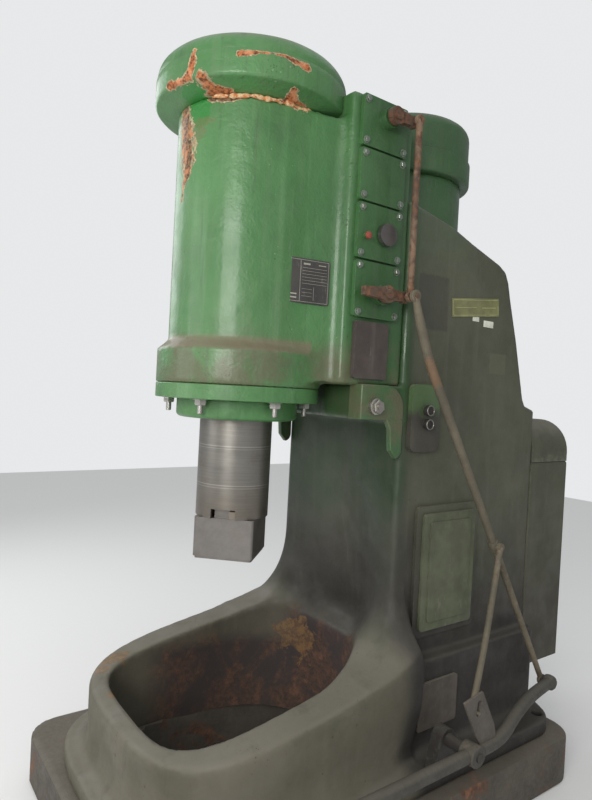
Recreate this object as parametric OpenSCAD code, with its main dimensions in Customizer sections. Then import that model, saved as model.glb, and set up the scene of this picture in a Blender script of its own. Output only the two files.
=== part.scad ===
// Single-column pneumatic forging hammer with its anvil taken out.
// The ram axis is the Z axis, the floor is z = 0 and the front of the machine looks along -Y.
// The near side of the picture is +X. All sizes are in millimetres.

/* [Base] */
// Half width of the sole plate
sole_half_width = 620; // [600:5:640]
// Thickness of the sole plate
sole_height = 190; // [120:5:200]
// Margin of the sole plate in front of the foot flange
sole_margin = 43; // [30:1:80]
// Distance from the ram axis back to the rear edge of the sole plate
sole_rear = 1420; // [1400:5:1600]
// Thickness of the foot flange
flange_height = 60; // [40:5:80]
// Half width of the foot flange
flange_half_width = 560; // [545:5:590]
// Margin of the foot flange in front of the ring wall
flange_margin = 72; // [60:1:100]
// Height of the ring where the column stands on it
ring_height = 590; // [560:5:640]
// Fall of the ring rim towards the front, in degrees
rim_tilt = 10; // [0:0.5:12]
// Half width of the ring wall on the outside
ring_half_width = 505; // [490:5:520]
// Forward reach of the ring wall
ring_front = 440; // [420:5:470]
// Thickness of the ring wall at the sides
ring_wall = 132; // [110:2:150]
// Thickness of the ring wall at the front
ring_front_wall = 70; // [50:2:90]

/* [Column] */
// Half width of the column and gear case
column_half_width = 360; // [330:5:400]
// Distance from the ram axis back to the front face of the column
column_front = 505; // [490:5:530]
// Depth of the hollow down the front of the column, at its foot
front_hollow = 95; // [60:5:110]
// Radius of the sweep from the column into the rim of the ring
foot_sweep = 230; // [160:5:240]
// Half width of the block under the column
foot_block_half_width = 425; // [400:5:470]
// Height of the roof of the gear case at its front
roof_front_height = 2340; // [2250:10:2420]
// Height of the roof of the gear case at its rear
roof_rear_height = 2190; // [2100:10:2280]
// Length of the doors in the sides of the column
door_length = 364; // [300:2:380]
// Height of the doors in the sides of the column
door_height = 516; // [440:2:560]

/* [Cylinders] */
// Outer radius of the ram cylinder
ram_cylinder_radius = 265; // [250:1:285]
// Bore radius of the ram cylinder
ram_bore_radius = 190; // [175:1:205]
// Radius of the shoulder flange at the foot of the ram cylinder
shoulder_radius = 302; // [290:1:315]
// Height of the underside of the ram cylinder casting
cylinder_bottom = 1610; // [1560:5:1660]
// Height of the top of the cylinder casting, where the cap begins
cylinder_top = 2570; // [2500:5:2620]
// Radius of the ram cylinder cap
cap_radius = 350; // [330:1:370]
// Height of the cap above the cylinder casting
cap_height = 200; // [160:5:230]
// Distance from the ram axis back to the compressor axis
compressor_offset = 812; // [790:1:850]
// Outer radius of the compressor cylinder
compressor_radius = 245; // [225:1:265]
// Radius of the compressor cap
compressor_cap_radius = 282; // [265:1:300]

/* [Ram] */
// Radius of the ram rod
ram_radius = 135; // [120:1:150]
// Height of the lower face of the ram with the ram as pictured
ram_bottom = 1130; // [1050:5:1200]
// Width of the upper die block
die_width = 222; // [200:2:250]
// Height of the upper die block
die_height = 150; // [120:5:180]
// Angle of the die about the ram axis
die_turn = 45; // [0:5:90]

/* [Valve gear] */
// Half width of the valve chest
chest_half_width = 345; // [325:5:360]
// Front edge of the valve chest behind the ram axis
chest_front = 205; // [180:5:230]
// Height of the top of the valve chest
chest_top = 2660; // [2600:5:2700]
// Distance from the ram axis back to both valve shafts
valve_y = 348; // [330:1:370]
// Height of the upper valve shaft
upper_valve_z = 2590; // [2560:5:2610]
// Height of the lower valve shaft
lower_valve_z = 1960; // [1920:5:1990]
// Length of the valve levers between shaft and rod pin
lever_arm = 85; // [70:1:100]
// Diameter of the link and pull rods
rod_diameter = 24; // [18:1:30]

/* [Treadle] */
// Diameter of the treadle bar
treadle_diameter = 48; // [40:1:60]
// Distance from the ram axis out to the treadle bar
treadle_x = 660; // [650:5:700]
// Distance from the ram axis back to the treadle pivot
treadle_pivot_y = 640; // [620:5:660]
// Height of the treadle pivot
treadle_pivot_z = 355; // [340:5:370]
// Distance from the ram axis forward to the foot bar
pedal_reach = 690; // [660:5:740]

/* [Guard] */
// Half width of the belt guard
guard_half_width = 360; // [340:5:400]
// Depth of the belt guard
guard_depth = 290; // [260:5:320]
// Height of the seam between the guard and its crown
guard_seam = 1330; // [1250:5:1350]
// Height of the rounded crown above that seam
guard_crown_height = 195; // [170:5:230]
// Thickness of the guard walls
guard_wall = 12; // [8:1:14]

/* [Fits] */
// Radial clearance of the ram in the gland ring and of the piston in its bore
ram_fit = 0.05; // [0.02:0.01:0.1]
// Radial clearance of pins and shafts in their holes
pin_fit = 0.05; // [0.02:0.01:0.1]
// Radial clearance of the open pivot between the pull rod and the treadle
open_pivot_fit = 1; // [0.8:0.1:2]
// Gap between bolted faces
seat = 0.3; // [0.2:0.1:0.5]

/* [Hidden] */
sole_top = sole_height;
flange_top = sole_top + flange_height;
flange_front = ring_front + flange_margin;
sole_front = flange_front + sole_margin;
flange_rear = sole_rear - 30;
ring_middle = 120;
ring_rear = 2 * ring_middle + ring_front;
ring_power = 2.8;
rim_start = 285;
rim_edge = 18;
inner_half_width = ring_half_width - ring_wall;
inner_front = ring_front - ring_front_wall;
inner_rear = column_front + front_hollow;
inner_power = 2.9;
flange_power = 3.4;
bolt_x = flange_half_width - 65;
bolt_front = 800;
bolt_rear = flange_rear - 90;
bolt_r = 22;
column_rear = 1370;
column_foot = ring_height + seat;
head_front = 290;
ear_proud = 10;
clamp_y = 355;
clamp_z = 1560;
door_y = 608;
door_z = ring_height + 72;
door_border = 44;
gland_flange_height = 52;
gland_ring_height = 68;
gland_ring_radius = 224;
gland_top = cylinder_bottom - seat;
gland_ring_top = gland_top - gland_flange_height - seat;
shoulder_height = 120;
bore_bottom = cylinder_bottom + 150;
compressor_bottom = 2085;
bore_top = cylinder_top - 10;
piston_top = 2220;
piston_height = 200;
chest_bottom = 1640;
head_bottom = chest_bottom - 128;
cover_face = chest_half_width + seat;
cover_thick = 18;
lever_x = 398;
lever_thick = 22;
link_x = 440;
pull_x = 466;
rod_end_thick = 16;
shaft_r = 17;
pin_r = 9;
rear_eye = [pull_x, 1370, 372];
guard_bottom = 385;
guard_top = guard_seam + guard_crown_height;
label_length = 302;
label_height = 76;
label_tilt = 6.7;
bracket_thick = 50;
bracket_x = flange_half_width - 5;

green = [0.29, 0.47, 0.29];
dusty = [0.42, 0.43, 0.36];
steel = [0.55, 0.54, 0.52];
rusty = [0.42, 0.27, 0.17];
dark = [0.16, 0.15, 0.15];

// Points of a closed oval between y0 and y1, squarer as the power n grows.
function oval(hw, y0, y1, n, count = 56) = [
    for (i = [0 : count - 1])
        let (a = 360 * i / count, c = cos(a), s = sin(a))
        [hw * sign(c) * pow(abs(c), 2 / n), (y0 + y1) / 2 + (y1 - y0) / 2 * sign(s) * pow(abs(s), 2 / n)]
];

// Corner arc of radius r about [cx, cy] from angle a0 to a1.
function arc(cx, cy, r, a0, a1, count = 6) = [
    for (i = [0 : count])
        let (a = a0 + (a1 - a0) * i / count)
        [cx + r * cos(a), cy + r * sin(a)]
];

// Rectangle from [x0, y0] to [x1, y1] with rounded corners.
module rounded(x0, y0, x1, y1, r) {
    polygon(concat(
        arc(x1 - r, y1 - r, r, 0, 90),
        arc(x0 + r, y1 - r, r, 90, 180),
        arc(x0 + r, y0 + r, r, 180, 270),
        arc(x1 - r, y0 + r, r, 270, 360)
    ));
}

module slab(z0, z1) {
    translate([0, 0, z0]) linear_extrude(z1 - z0) children();
}

// Profile in the Y-Z plane drawn as [y, z], extruded from x0 to x1.
module side_slab(x0, x1) {
    translate([x0, 0, 0]) rotate([90, 0, 90]) linear_extrude(x1 - x0) children();
}

// Cylinder along X from x0 to x1 about [y, z].
module x_rod(x0, x1, y, z, r) {
    translate([x0, y, z]) rotate([0, 90, 0]) cylinder(h = x1 - x0, r = r, $fn = 48);
}

// Straight round bar between two points.
module bar(a, b, r) {
    d = b - a;
    l = norm(d);
    translate(a) rotate([0, acos(d[2] / l), atan2(d[1], d[0])]) cylinder(h = l, r = r, $fn = 32);
}

function unit(v) = v / norm(v);

// Length cut from both bars at bend i, so that only the ball joins them.
function bend_cut(p, i, r) = i == 0 || i == len(p) - 1 ? 0
    : max(4, r * tan(acos(unit(p[i] - p[i - 1]) * unit(p[i + 1] - p[i])) / 2) + 0.3);

// Round bar of radius r bent through the points, with a slightly proud ball at each bend.
module run(p, r) {
    last = len(p) - 1;
    for (i = [0 : last - 1]) {
        u = unit(p[i + 1] - p[i]);
        bar(p[i] + bend_cut(p, i, r) * u, p[i + 1] - bend_cut(p, i + 1, r) * u, r);
    }
    for (i = [1 : last - 1]) translate(p[i]) intersection() {
        sphere(r = r + 1.5, $fn = 32);
        cube([4 * r, 4 * r, 2 * r + 1.6], center = true);
    }
}

module foundation_holes() {
    for (x = [-bolt_x, bolt_x], y = [bolt_front, bolt_rear])
        translate([x, y, -1]) cylinder(h = ring_height, r = bolt_r, $fn = 48);
}

module opening_outline() {
    polygon(oval(inner_half_width, -inner_front, inner_rear, inner_power));
}

// Outline of the ring wall, moved in by the given amount.
module ring_outline(inset = 0) {
    polygon(oval(ring_half_width - inset, inset - ring_front, ring_rear - inset, ring_power, 96));
}

module sole_plate() {
    color(rusty) difference() {
        slab(0, sole_top) rounded(-sole_half_width, -sole_front, sole_half_width, sole_rear, 120);
        slab(-1, sole_top + 1) opening_outline();
        foundation_holes();
    }
}

// Slice of the ring outline lying parallel to the sloping rim, depth h under it.
module rim_slice(h, inset) {
    k = cos(rim_tilt);
    front = (inset - ring_front - rim_start) / k;
    rear = (ring_rear - inset - rim_start) / k;
    translate([0, rim_start, ring_height]) rotate([rim_tilt, 0, 0]) slab(-h, 1 - h)
        polygon(oval(ring_half_width - inset, front, rear, ring_power, 48));
}

// Ring wall under its sloping rim, with the outer edge of the rim broken.
module ring_wall_solid() {
    drop = tan(rim_tilt) * (rim_start + ring_front + 60);
    intersection() {
        slab(sole_top, ring_height - rim_edge) ring_outline();
        side_slab(-ring_half_width, ring_half_width) polygon([
            [-ring_front - 60, sole_top], [-ring_front - 60, ring_height - rim_edge - drop],
            [rim_start, ring_height - rim_edge], [ring_rear, ring_height - rim_edge], [ring_rear, sole_top]
        ]);
    }
    intersection() {
        hull() {
            rim_slice(rim_edge + 2, 1);
            rim_slice(1, rim_edge);
        }
        translate([-600, -600, sole_top]) cube([1200, 1200, ring_height - sole_top]);
    }
}

module base_ring() {
    color(dusty) difference() {
        union() {
            slab(sole_top, flange_top) {
                polygon(oval(flange_half_width, -flange_front, 2 * ring_middle + flange_front, flange_power, 96));
                rounded(-flange_half_width, ring_middle - 160, flange_half_width, flange_rear, 160);
            }
            ring_wall_solid();
            hull() {
                slab(flange_top - 1, flange_top) ring_outline(-26);
                slab(flange_top + 60, flange_top + 61) ring_outline(1);
            }
            slab(sole_top, ring_height)
                rounded(-foot_block_half_width, column_front, foot_block_half_width, column_rear, 40);
        }
        slab(sole_top - 1, ring_height + 1) opening_outline();
        foundation_holes();
    }
}

// Concave sweep: corner points from [x, z + r] round to [x - r, z], for a curve centred at [x - r, z + r].
function sweep_arc(x, z, r, count = 12) = [
    for (i = [0 : count]) let (a = 90 * i / count) [x - r + r * cos(a), z + r - r * sin(a)]
];

// Foot of the column: it sweeps out to the rim in front and to the ring wall at the sides.
module column_sweep() {
    w = column_half_width;
    r = foot_sweep;
    intersection() {
        slab(column_foot, column_foot + r) ring_outline();
        side_slab(-ring_half_width, ring_half_width) polygon(concat(
            sweep_arc(column_front, column_foot, r), [[ring_rear, column_foot], [ring_rear, column_foot + r]]
        ));
        rotate([90, 0, 0]) translate([0, 0, -ring_rear]) linear_extrude(ring_rear + ring_front) polygon(
            concat([for (p = sweep_arc(-w, column_foot, r)) [-2 * w - p[0], p[1]]],
            [for (i = [12 : -1 : 0]) let (p = sweep_arc(-w, column_foot, r)[i]) [2 * w + p[0], p[1]]]
        ));
    }
}

// Outline of the clamping ear at the side of the head: a rounded corner above, a narrow tongue below.
module ear_outline(rear) {
    top = chest_bottom - seat;
    polygon(concat(
        [[head_front, head_bottom], [head_front, top]],
        rear > column_front ? [[rear, top]] : arc(rear - 88, top - 88, 88, 90, 0, 8),
        arc(rear - 34, 1400, 34, 0, -100, 6),
        [[column_front - 60, 1392], [column_front - 62, 1480], [column_front - 80, head_bottom]]
    ));
}

// Head that carries the cylinder block: a shelf hollowed round the gland, with an ear at each side.
module column_head() {
    w = column_half_width;
    difference() {
        union() {
            slab(head_bottom, chest_bottom - seat) translate([-w, head_front])
                square([2 * w, column_front + 40 - head_front]);
            for (s = [-1, 1]) {
                side_slab(s < 0 ? -w : w - 60, s < 0 ? -w + 60 : w) ear_outline(column_front + 60);
                side_slab(s < 0 ? -w - ear_proud : w - 1, s < 0 ? -w + 1 : w + ear_proud)
                    ear_outline(column_front);
            }
        }
        translate([0, 0, head_bottom - 1]) cylinder(h = 200, r = shoulder_radius + 28, $fn = 96);
    }
}

// Column below its roof, without the head.
module column_shaft() {
    front = column_front;
    w = column_half_width;
    hollow_r = (pow(300, 2) + pow(front_hollow, 2)) / (2 * front_hollow);
    difference() {
        union() {
            intersection() {
                side_slab(-w, w) polygon([
                    [front, column_foot], [front, roof_front_height], [750, roof_front_height - 50],
                    [880, roof_front_height - 95], [1060, roof_rear_height], [1105, roof_rear_height - 25],
                    [1130, roof_rear_height - 70], [1150, roof_rear_height - 140], [1210, 1870],
                    [1280, 1620], [1300, 1590], [column_rear, 1570], [column_rear, column_foot]
                ]);
                slab(500, 2700) rounded(-w, front, w, column_rear, 26);
            }
            column_sweep();
        }
        translate([0, front + front_hollow - hollow_r, column_foot]) rotate([front_hollow / 15, 0, 0])
            translate([0, 0, -200]) cylinder(h = 1130, r = hollow_r, $fn = 96);
        slab(column_foot - 1, column_foot + foot_sweep) opening_outline();
    }
}

module column_case() {
    w = column_half_width;
    color(dusty) difference() {
        union() {
            column_shaft();
            column_head();
        }
        translate([0, compressor_offset, compressor_bottom - 5])
            cylinder(h = 700, r = compressor_radius + seat, $fn = 96);
        translate([0, compressor_offset, cylinder_top - 45])
            cylinder(h = 300, r = compressor_cap_radius + seat, $fn = 96);
        neck(seat);
        for (s = [-1, 1]) x_rod(s * w - 70, s * w + 70, clamp_y, clamp_z, 13);
    }
}

web_start = [262, -10];
web_end = [296, 178];
module chest_outline() {
    w = chest_half_width;
    polygon(concat(
        [web_start, web_end],
        arc(w - 24, chest_front + 24, 24, -70, 0, 4),
        [[w, column_front - seat], [-w, column_front - seat]],
        arc(24 - w, chest_front + 24, 24, 180, 250, 4),
        [[-web_end[0], web_end[1]], [-web_start[0], web_start[1]]]
    ));
}

// Neck that joins the valve chest to the compressor cylinder over the roof.
module neck(gap) {
    slab(chest_top - 320 - gap, chest_top - 60 + gap) translate([-190 - gap, 400])
        square([380 + 2 * gap, 300 + gap]);
}

module cylinder_block() {
    color(green) difference() {
        union() {
            translate([0, 0, cylinder_bottom]) cylinder(h = shoulder_height, r = shoulder_radius, $fn = 128);
            translate([0, 0, cylinder_bottom + shoulder_height])
                cylinder(h = 32, r1 = shoulder_radius, r2 = ram_cylinder_radius, $fn = 128);
            translate([0, 0, cylinder_bottom + 10])
                cylinder(h = cylinder_top - cylinder_bottom - 10, r = ram_cylinder_radius, $fn = 128);
            slab(chest_bottom, cylinder_top) chest_outline();
            slab(cylinder_top - 1, chest_top) intersection() {
                chest_outline();
                translate([-500, chest_front - 6]) square([1000, 500]);
            }
            neck(0);
            translate([0, compressor_offset, compressor_bottom])
                cylinder(h = cylinder_top - 45 - compressor_bottom, r = compressor_radius, $fn = 128);
        }
        translate([0, 0, 1500]) cylinder(h = 400, r = ram_radius + 6, $fn = 96);
        translate([0, 0, bore_bottom]) cylinder(h = 1200, r = ram_bore_radius, $fn = 128);
        for (z = [upper_valve_z, lower_valve_z])
            x_rod(chest_half_width - 90, chest_half_width + 5, valve_y, z, shaft_r + pin_fit);
        x_rod(chest_half_width - 60, chest_half_width + 5, 365, 2178, 12 + pin_fit);
    }
}

module ram_cylinder_cap() {
    r = cap_radius;
    color(green) difference() {
        translate([0, 0, cylinder_top + seat]) rotate_extrude($fn = 144) polygon(concat(
            [[0, 0], [ram_cylinder_radius + 8, 0], [r - 14, 22]],
            arc(r - 14, 36, 14, -60, 0, 4),
            [[r, cap_height - 92], [r - 3, cap_height - 88]],
            arc(r - 71, cap_height - 83, 68, 4, 90, 8),
            [[0, cap_height]]
        ));
        translate([-500, chest_front - 6, cylinder_top - 5]) cube([1000, 500, chest_top - cylinder_top + 5.3]);
    }
}

module compressor_cap() {
    z0 = cylinder_top - 45 + seat;
    color(green) difference() {
        translate([0, compressor_offset, z0]) rotate_extrude($fn = 128) polygon(concat(
            [[0, 0], [compressor_cap_radius - 14, 0]],
            arc(compressor_cap_radius - 14, 14, 14, -90, 0, 4),
            [[compressor_cap_radius, 95], [compressor_cap_radius - 8, 100]],
            [[compressor_cap_radius - 8, 190]],
            arc(compressor_cap_radius - 58, 200, 50, 0, 90, 6),
            [[0, 250]]
        ));
        translate([-500, 200, cylinder_top - 170]) cube([1000, column_front - 200 + seat, 500]);
        neck(seat);
    }
}

module gland_flange() {
    color(green) difference() {
        translate([0, 0, gland_top - gland_flange_height])
            cylinder(h = gland_flange_height, r = shoulder_radius, $fn = 128);
        translate([0, 0, 1400]) cylinder(h = 400, r = ram_radius + 6, $fn = 96);
    }
}

module gland_ring() {
    color(green) difference() {
        translate([0, 0, gland_ring_top - gland_ring_height]) rotate_extrude($fn = 128) polygon(concat(
            [[ram_radius + ram_fit, 0], [gland_ring_radius - 16, 0]],
            arc(gland_ring_radius - 16, 16, 16, -90, 0, 4),
            [[gland_ring_radius, gland_ring_height], [ram_radius + ram_fit, gland_ring_height]]
        ));
    }
}

module ram() {
    color(steel) difference() {
        union() {
            translate([0, 0, ram_bottom])
                cylinder(h = piston_top - ram_bottom - 10, r = ram_radius, $fn = 128);
            translate([0, 0, piston_top - piston_height])
                cylinder(h = piston_height, r = ram_bore_radius - ram_fit, $fn = 128);
        }
        rotate([0, 0, die_turn]) translate([-45, -200, ram_bottom - 1]) cube([90, 400, 36]);
    }
}

module upper_die() {
    w = die_width;
    h = die_height;
    color(steel) rotate([0, 0, die_turn]) union() {
        difference() {
            slab(ram_bottom - seat - h, ram_bottom - seat) rounded(-w / 2, -w / 2, w / 2, w / 2, 10);
            slab(ram_bottom - seat - h - 1, ram_bottom - h + 8) difference() {
                square(w + 20, center = true);
                rounded(-w / 2 + 5, -w / 2 + 5, w / 2 - 5, w / 2 - 5, 10);
            }
        }
        translate([-38, -w / 2 + 12, ram_bottom - seat - 1]) cube([58, w - 24, 30]);
    }
}

module die_key() {
    w = die_width;
    color(rusty) rotate([0, 0, die_turn]) translate([20.3, -w / 2 - 8, ram_bottom + 0.2])
        cube([24, w + 12, 28]);
}

// Bolted cover on the near side of the valve chest.
module cover(z0, z1, y0 = 236, y1 = 452) {
    side_slab(cover_face, cover_face + cover_thick) rounded(y0, z0, y1, z1, 10);
}

module chest_cover_upper() {
    color(green) difference() {
        union() {
            cover(2476, 2655);
            x_rod(cover_face, lever_x - 6, valve_y, upper_valve_z, 36);
        }
        x_rod(cover_face - 5, lever_x + 5, valve_y, upper_valve_z, shaft_r + pin_fit);
    }
}

module chest_cover_plain() {
    color(green) cover(2286, 2468);
}

module chest_cover_hand() {
    color(green) difference() {
        union() {
            cover(2083, 2278);
            x_rod(cover_face, cover_face + cover_thick + 10, 273, 2161, 11);
        }
        x_rod(cover_face - 5, cover_face + 30, 365, 2178, 12 + pin_fit);
    }
}

module chest_cover_lower() {
    color(green) difference() {
        union() {
            cover(1876, 2075);
            x_rod(cover_face, lever_x - 6, valve_y, lower_valve_z, 36);
        }
        x_rod(cover_face - 5, lever_x + 5, valve_y, lower_valve_z, shaft_r + pin_fit);
    }
}

module chest_patch() {
    color(dark) cover(1658, 1862, 250, 410);
}

// Valve lever with its shaft; the rod pin stands out from the end of the arm.
module valve_lever(z, pin_end, tail) {
    difference() {
        union() {
            x_rod(chest_half_width - 80, lever_x + lever_thick + 8, valve_y, z, shaft_r);
            x_rod(lever_x, lever_x + lever_thick, valve_y, z, 31);
            x_rod(lever_x, lever_x + lever_thick, valve_y + lever_arm, z, 21);
            side_slab(lever_x, lever_x + lever_thick) polygon([
                [valve_y - tail, z - 15], [valve_y, z - 23], [valve_y + lever_arm, z - 15],
                [valve_y + lever_arm, z + 15], [valve_y, z + 23], [valve_y - tail, z + 15]
            ]);
            x_rod(lever_x, pin_end, valve_y + lever_arm, z, pin_r);
        }
    }
}

module upper_valve_lever() {
    color(rusty) valve_lever(upper_valve_z, link_x + 14, 30);
}

module lower_valve_lever() {
    color(rusty) valve_lever(lower_valve_z, pull_x + 14, 112);
}

module valve_link_rod() {
    y = valve_y + lever_arm;
    color(rusty) difference() {
        union() {
            bar([link_x, y, lower_valve_z], [link_x, y, upper_valve_z], rod_diameter / 2);
            for (z = [lower_valve_z, upper_valve_z])
                x_rod(link_x - rod_end_thick / 2, link_x + rod_end_thick / 2, y, z, 19);
        }
        for (z = [lower_valve_z, upper_valve_z])
            x_rod(link_x - 20, link_x + 20, y, z, pin_r + pin_fit);
    }
}

module hand_disc() {
    color(dark) union() {
        x_rod(cover_face - 40, cover_face + 40, 365, 2178, 12);
        x_rod(cover_face + cover_thick + 6, cover_face + cover_thick + 24, 365, 2178, 40);
    }
}

// Pull rod: from the lower valve lever down to the rear end of the treadle.
pull_points = [
    [pull_x, valve_y + lever_arm, lower_valve_z], [pull_x, 463, 1870], [pull_x, 520, 1738], rear_eye
];
rod_way = unit(rear_eye - pull_points[2]);
collar = pull_points[2] + 855 * rod_way;
module pull_rod() {
    color(rusty) difference() {
        union() {
            run(pull_points, rod_diameter / 2);
            for (p = [pull_points[0], rear_eye])
                x_rod(pull_x - rod_end_thick / 2, pull_x + rod_end_thick / 2, p[1], p[2], 22);
            bar(collar - 22 * rod_way, collar + 22 * rod_way, 20);
        }
        x_rod(pull_x - 20, pull_x + 20, pull_points[0][1], pull_points[0][2], pin_r + pin_fit);
        x_rod(pull_x - 20, pull_x + 20, rear_eye[1], rear_eye[2], pin_r + open_pivot_fit);
    }
}

branch_x = pull_x + 29.3;
plate_thick = 10;
bar_rise = 1 / 30;
slot_pin = [treadle_x - 23, treadle_pivot_y + 16, treadle_pivot_z + 142];
module branch_rod() {
    top = [branch_x, collar[1], collar[2]];
    color(rusty) union() {
        run([top, [branch_x + 65, 821, 696], slot_pin], 8);
        x_rod(branch_x - 9, branch_x + 9, top[1], top[2], 17);
        x_rod(slot_pin[0] - 9, slot_pin[0] + 9, slot_pin[1], slot_pin[2], 15);
        x_rod(slot_pin[0], treadle_x + plate_thick, slot_pin[1], slot_pin[2], 6);
    }
}

// Height of the underside of the plate, along the top of the rising bar.
function plate_low(y) = treadle_pivot_z + bar_rise * (y - treadle_pivot_y) + treadle_diameter / 2 + seat;

// Plate that stands on the treadle bar; its slot leans by what the pin moves sideways.
module slotted_plate() {
    x = treadle_x;
    y = slot_pin[1];
    z = slot_pin[2];
    r = 10;
    color(rusty) difference() {
        side_slab(x - plate_thick / 2, x + plate_thick / 2) polygon([
            [y + 20, plate_low(y + 20)], [y + 112, plate_low(y + 112)], [y + 98, z - 65], [y + 23, z + 72],
            [y - 77, z + 54], [y - 1, z - 87]
        ]);
        x_rod(x - 9, x + 9, y, z - 1, r);
        x_rod(x - 9, x + 9, y + 5, z + 34, r);
        side_slab(x - 9, x + 9)
            polygon([[y - r, z - 1], [y + r, z - 1], [y + 5 + r, z + 34], [y + 5 - r, z + 34]]);
    }
}

pivot = [treadle_x, treadle_pivot_y, treadle_pivot_z];

// Point 25 mm from a on the way to b, inside the wall of a hub about a.
function hub_edge(a, b) = a + 25 * unit(b - a);

rear_path = [pivot + [0, 165, 165 * bar_rise], pivot + [-55, 325, 20], pivot + [-115, 520, 22]];
front_path = [
    pivot + [0, -1040, -6], pivot + [-22, -1190, -12],
    [treadle_x - 110, 28 - pedal_reach, treadle_pivot_z - 24],
    [treadle_x - 220, -pedal_reach, treadle_pivot_z - 36], [150, -pedal_reach, treadle_pivot_z - 60]
];
module treadle_bar() {
    r = treadle_diameter / 2;
    eye = [pull_x + 40, rear_eye[1], rear_eye[2]];
    color(rusty) difference() {
        union() {
            run(concat([hub_edge(pivot, rear_path[0])], rear_path, [eye]), r);
            run(concat([hub_edge(pivot, front_path[0])], front_path), r);
            x_rod(treadle_x - 34, treadle_x + 30, pivot[1], pivot[2], 38);
            x_rod(pull_x + 14, pull_x + 66, rear_eye[1], rear_eye[2], 32);
            x_rod(pull_x - 14, pull_x + 16, rear_eye[1], rear_eye[2], pin_r);
        }
        x_rod(treadle_x - 40, treadle_x + 40, pivot[1], pivot[2], 15 + pin_fit);
    }
}

// Stand on the foot flange with the fixed pin of the treadle.
module treadle_bracket() {
    y = treadle_pivot_y;
    z = treadle_pivot_z;
    color(dusty) union() {
        side_slab(bracket_x - bracket_thick, bracket_x) polygon(concat(
            [[y + 70, flange_top + seat]], arc(y, z, 38, 20, 160, 8), [[y - 70, flange_top + seat]]
        ));
        x_rod(bracket_x - bracket_thick, treadle_x - 40, y, z, 24);
        x_rod(bracket_x - bracket_thick, treadle_x + 36, y, z, 15);
    }
}

module clamp_bolt(s) {
    w = column_half_width;
    face = w + ear_proud;
    color(steel) union() {
        x_rod(s > 0 ? w - 60 : -face - 34, s > 0 ? face + 34 : -w + 60, clamp_y, clamp_z, 12);
        x_rod(s > 0 ? face + seat : -face - 7, s > 0 ? face + 7 : -face - seat, clamp_y, clamp_z, 30);
        translate([s > 0 ? face + 6.9 : -face - 26, clamp_y, clamp_z]) rotate([0, 90, 0])
            cylinder(h = 19.1, r = 22, $fn = 6);
    }
}

module clamp_bolt_near() {
    clamp_bolt(1);
}

module clamp_bolt_far() {
    clamp_bolt(-1);
}

wall_x = column_half_width + seat;
module oil_panel() {
    color(dusty) union() {
        side_slab(wall_x, wall_x + 22) rounded(536, 1394, 692, 1652, 26);
        for (z = [1500, 1553]) {
            x_rod(wall_x + 20, wall_x + 34, 612, z, 16);
            x_rod(wall_x + 33, wall_x + 48, 612, z, 21);
        }
    }
}

// Outline of the door frame, moved in by the given amount.
module door_outline(inset, r) {
    rounded(door_y + inset, door_z + inset, door_y + door_length - inset, door_z + door_height - inset, r);
}

module door_frame(s) {
    color(dusty) side_slab(s > 0 ? wall_x : -wall_x - 16, s > 0 ? wall_x + 16 : -wall_x) difference() {
        door_outline(0, 20);
        door_outline(door_border, 12);
    }
}

module door(s) {
    face = wall_x + 16 + seat;
    color(dusty) union() {
        side_slab(s > 0 ? face : -face - 12, s > 0 ? face + 12 : -face) door_outline(door_border - 16, 16);
        side_slab(s > 0 ? face + 11 : -face - 18, s > 0 ? face + 18 : -face - 11)
            door_outline(door_border + 18, 12);
    }
}

module door_frame_near() {
    door_frame(1);
}

module door_near() {
    door(1);
}

module door_frame_far() {
    door_frame(-1);
}

module door_far() {
    door(-1);
}

module side_hatch() {
    x0 = foot_block_half_width + seat;
    color(dark) side_slab(x0, x0 + 12) rounded(600, flange_top + 80, 822, ring_height - 78, 12);
}

module guard_outline(hw, z0, z1, r) {
    polygon(concat(
        [[hw, z0]], arc(hw - r, z1 - r, r, 0, 90, 10), arc(r - hw, z1 - r, r, 90, 180, 10), [[-hw, z0]]
    ));
}

// Shell of the guard between heights z0 and z1, with corners of radius r at its top.
module guard_shell(z0, z1, r, top_wall) {
    y1 = column_rear + seat + guard_depth;
    color(dusty) difference() {
        translate([0, y1, 0]) rotate([90, 0, 0]) linear_extrude(guard_depth)
            guard_outline(guard_half_width, z0, z1, r);
        translate([0, y1 - guard_wall, 0]) rotate([90, 0, 0]) linear_extrude(guard_depth - 2 * guard_wall)
            guard_outline(guard_half_width - guard_wall, z0 - 1, z1 - top_wall, r - guard_wall);
    }
}

module belt_guard() {
    difference() {
        guard_shell(guard_bottom, guard_seam, 13, -30);
        color(dusty) translate([-200, column_rear, guard_seam - 430])
            cube([400, guard_wall + 2, 400]);
    }
}

module guard_crown() {
    guard_shell(guard_seam + seat, guard_top, 150, guard_wall);
}

module name_plate() {
    way = web_end - web_start;
    color(dark) translate([web_start[0], web_start[1], 0]) rotate([0, 0, -atan2(way[0], way[1])])
        side_slab(seat, seat + 5) rounded(24, 1905, 186, 2060, 8);
}

module side_plate() {
    color([0.35, 0.36, 0.2]) translate([0, 760, 1930]) rotate([label_tilt, 0, 0])
        side_slab(wall_x, wall_x + 3) rounded(0, 0, label_length, label_height, 4);
}

sole_plate();
base_ring();
column_case();
cylinder_block();
ram_cylinder_cap();
compressor_cap();
gland_flange();
gland_ring();
ram();
upper_die();
die_key();
chest_cover_upper();
chest_cover_plain();
chest_cover_hand();
chest_cover_lower();
chest_patch();
upper_valve_lever();
lower_valve_lever();
valve_link_rod();
hand_disc();
pull_rod();
branch_rod();
slotted_plate();
treadle_bar();
treadle_bracket();
clamp_bolt_near();
clamp_bolt_far();
oil_panel();
door_frame_near();
door_near();
door_frame_far();
door_far();
side_hatch();
belt_guard();
guard_crown();
name_plate();
side_plate();
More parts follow.
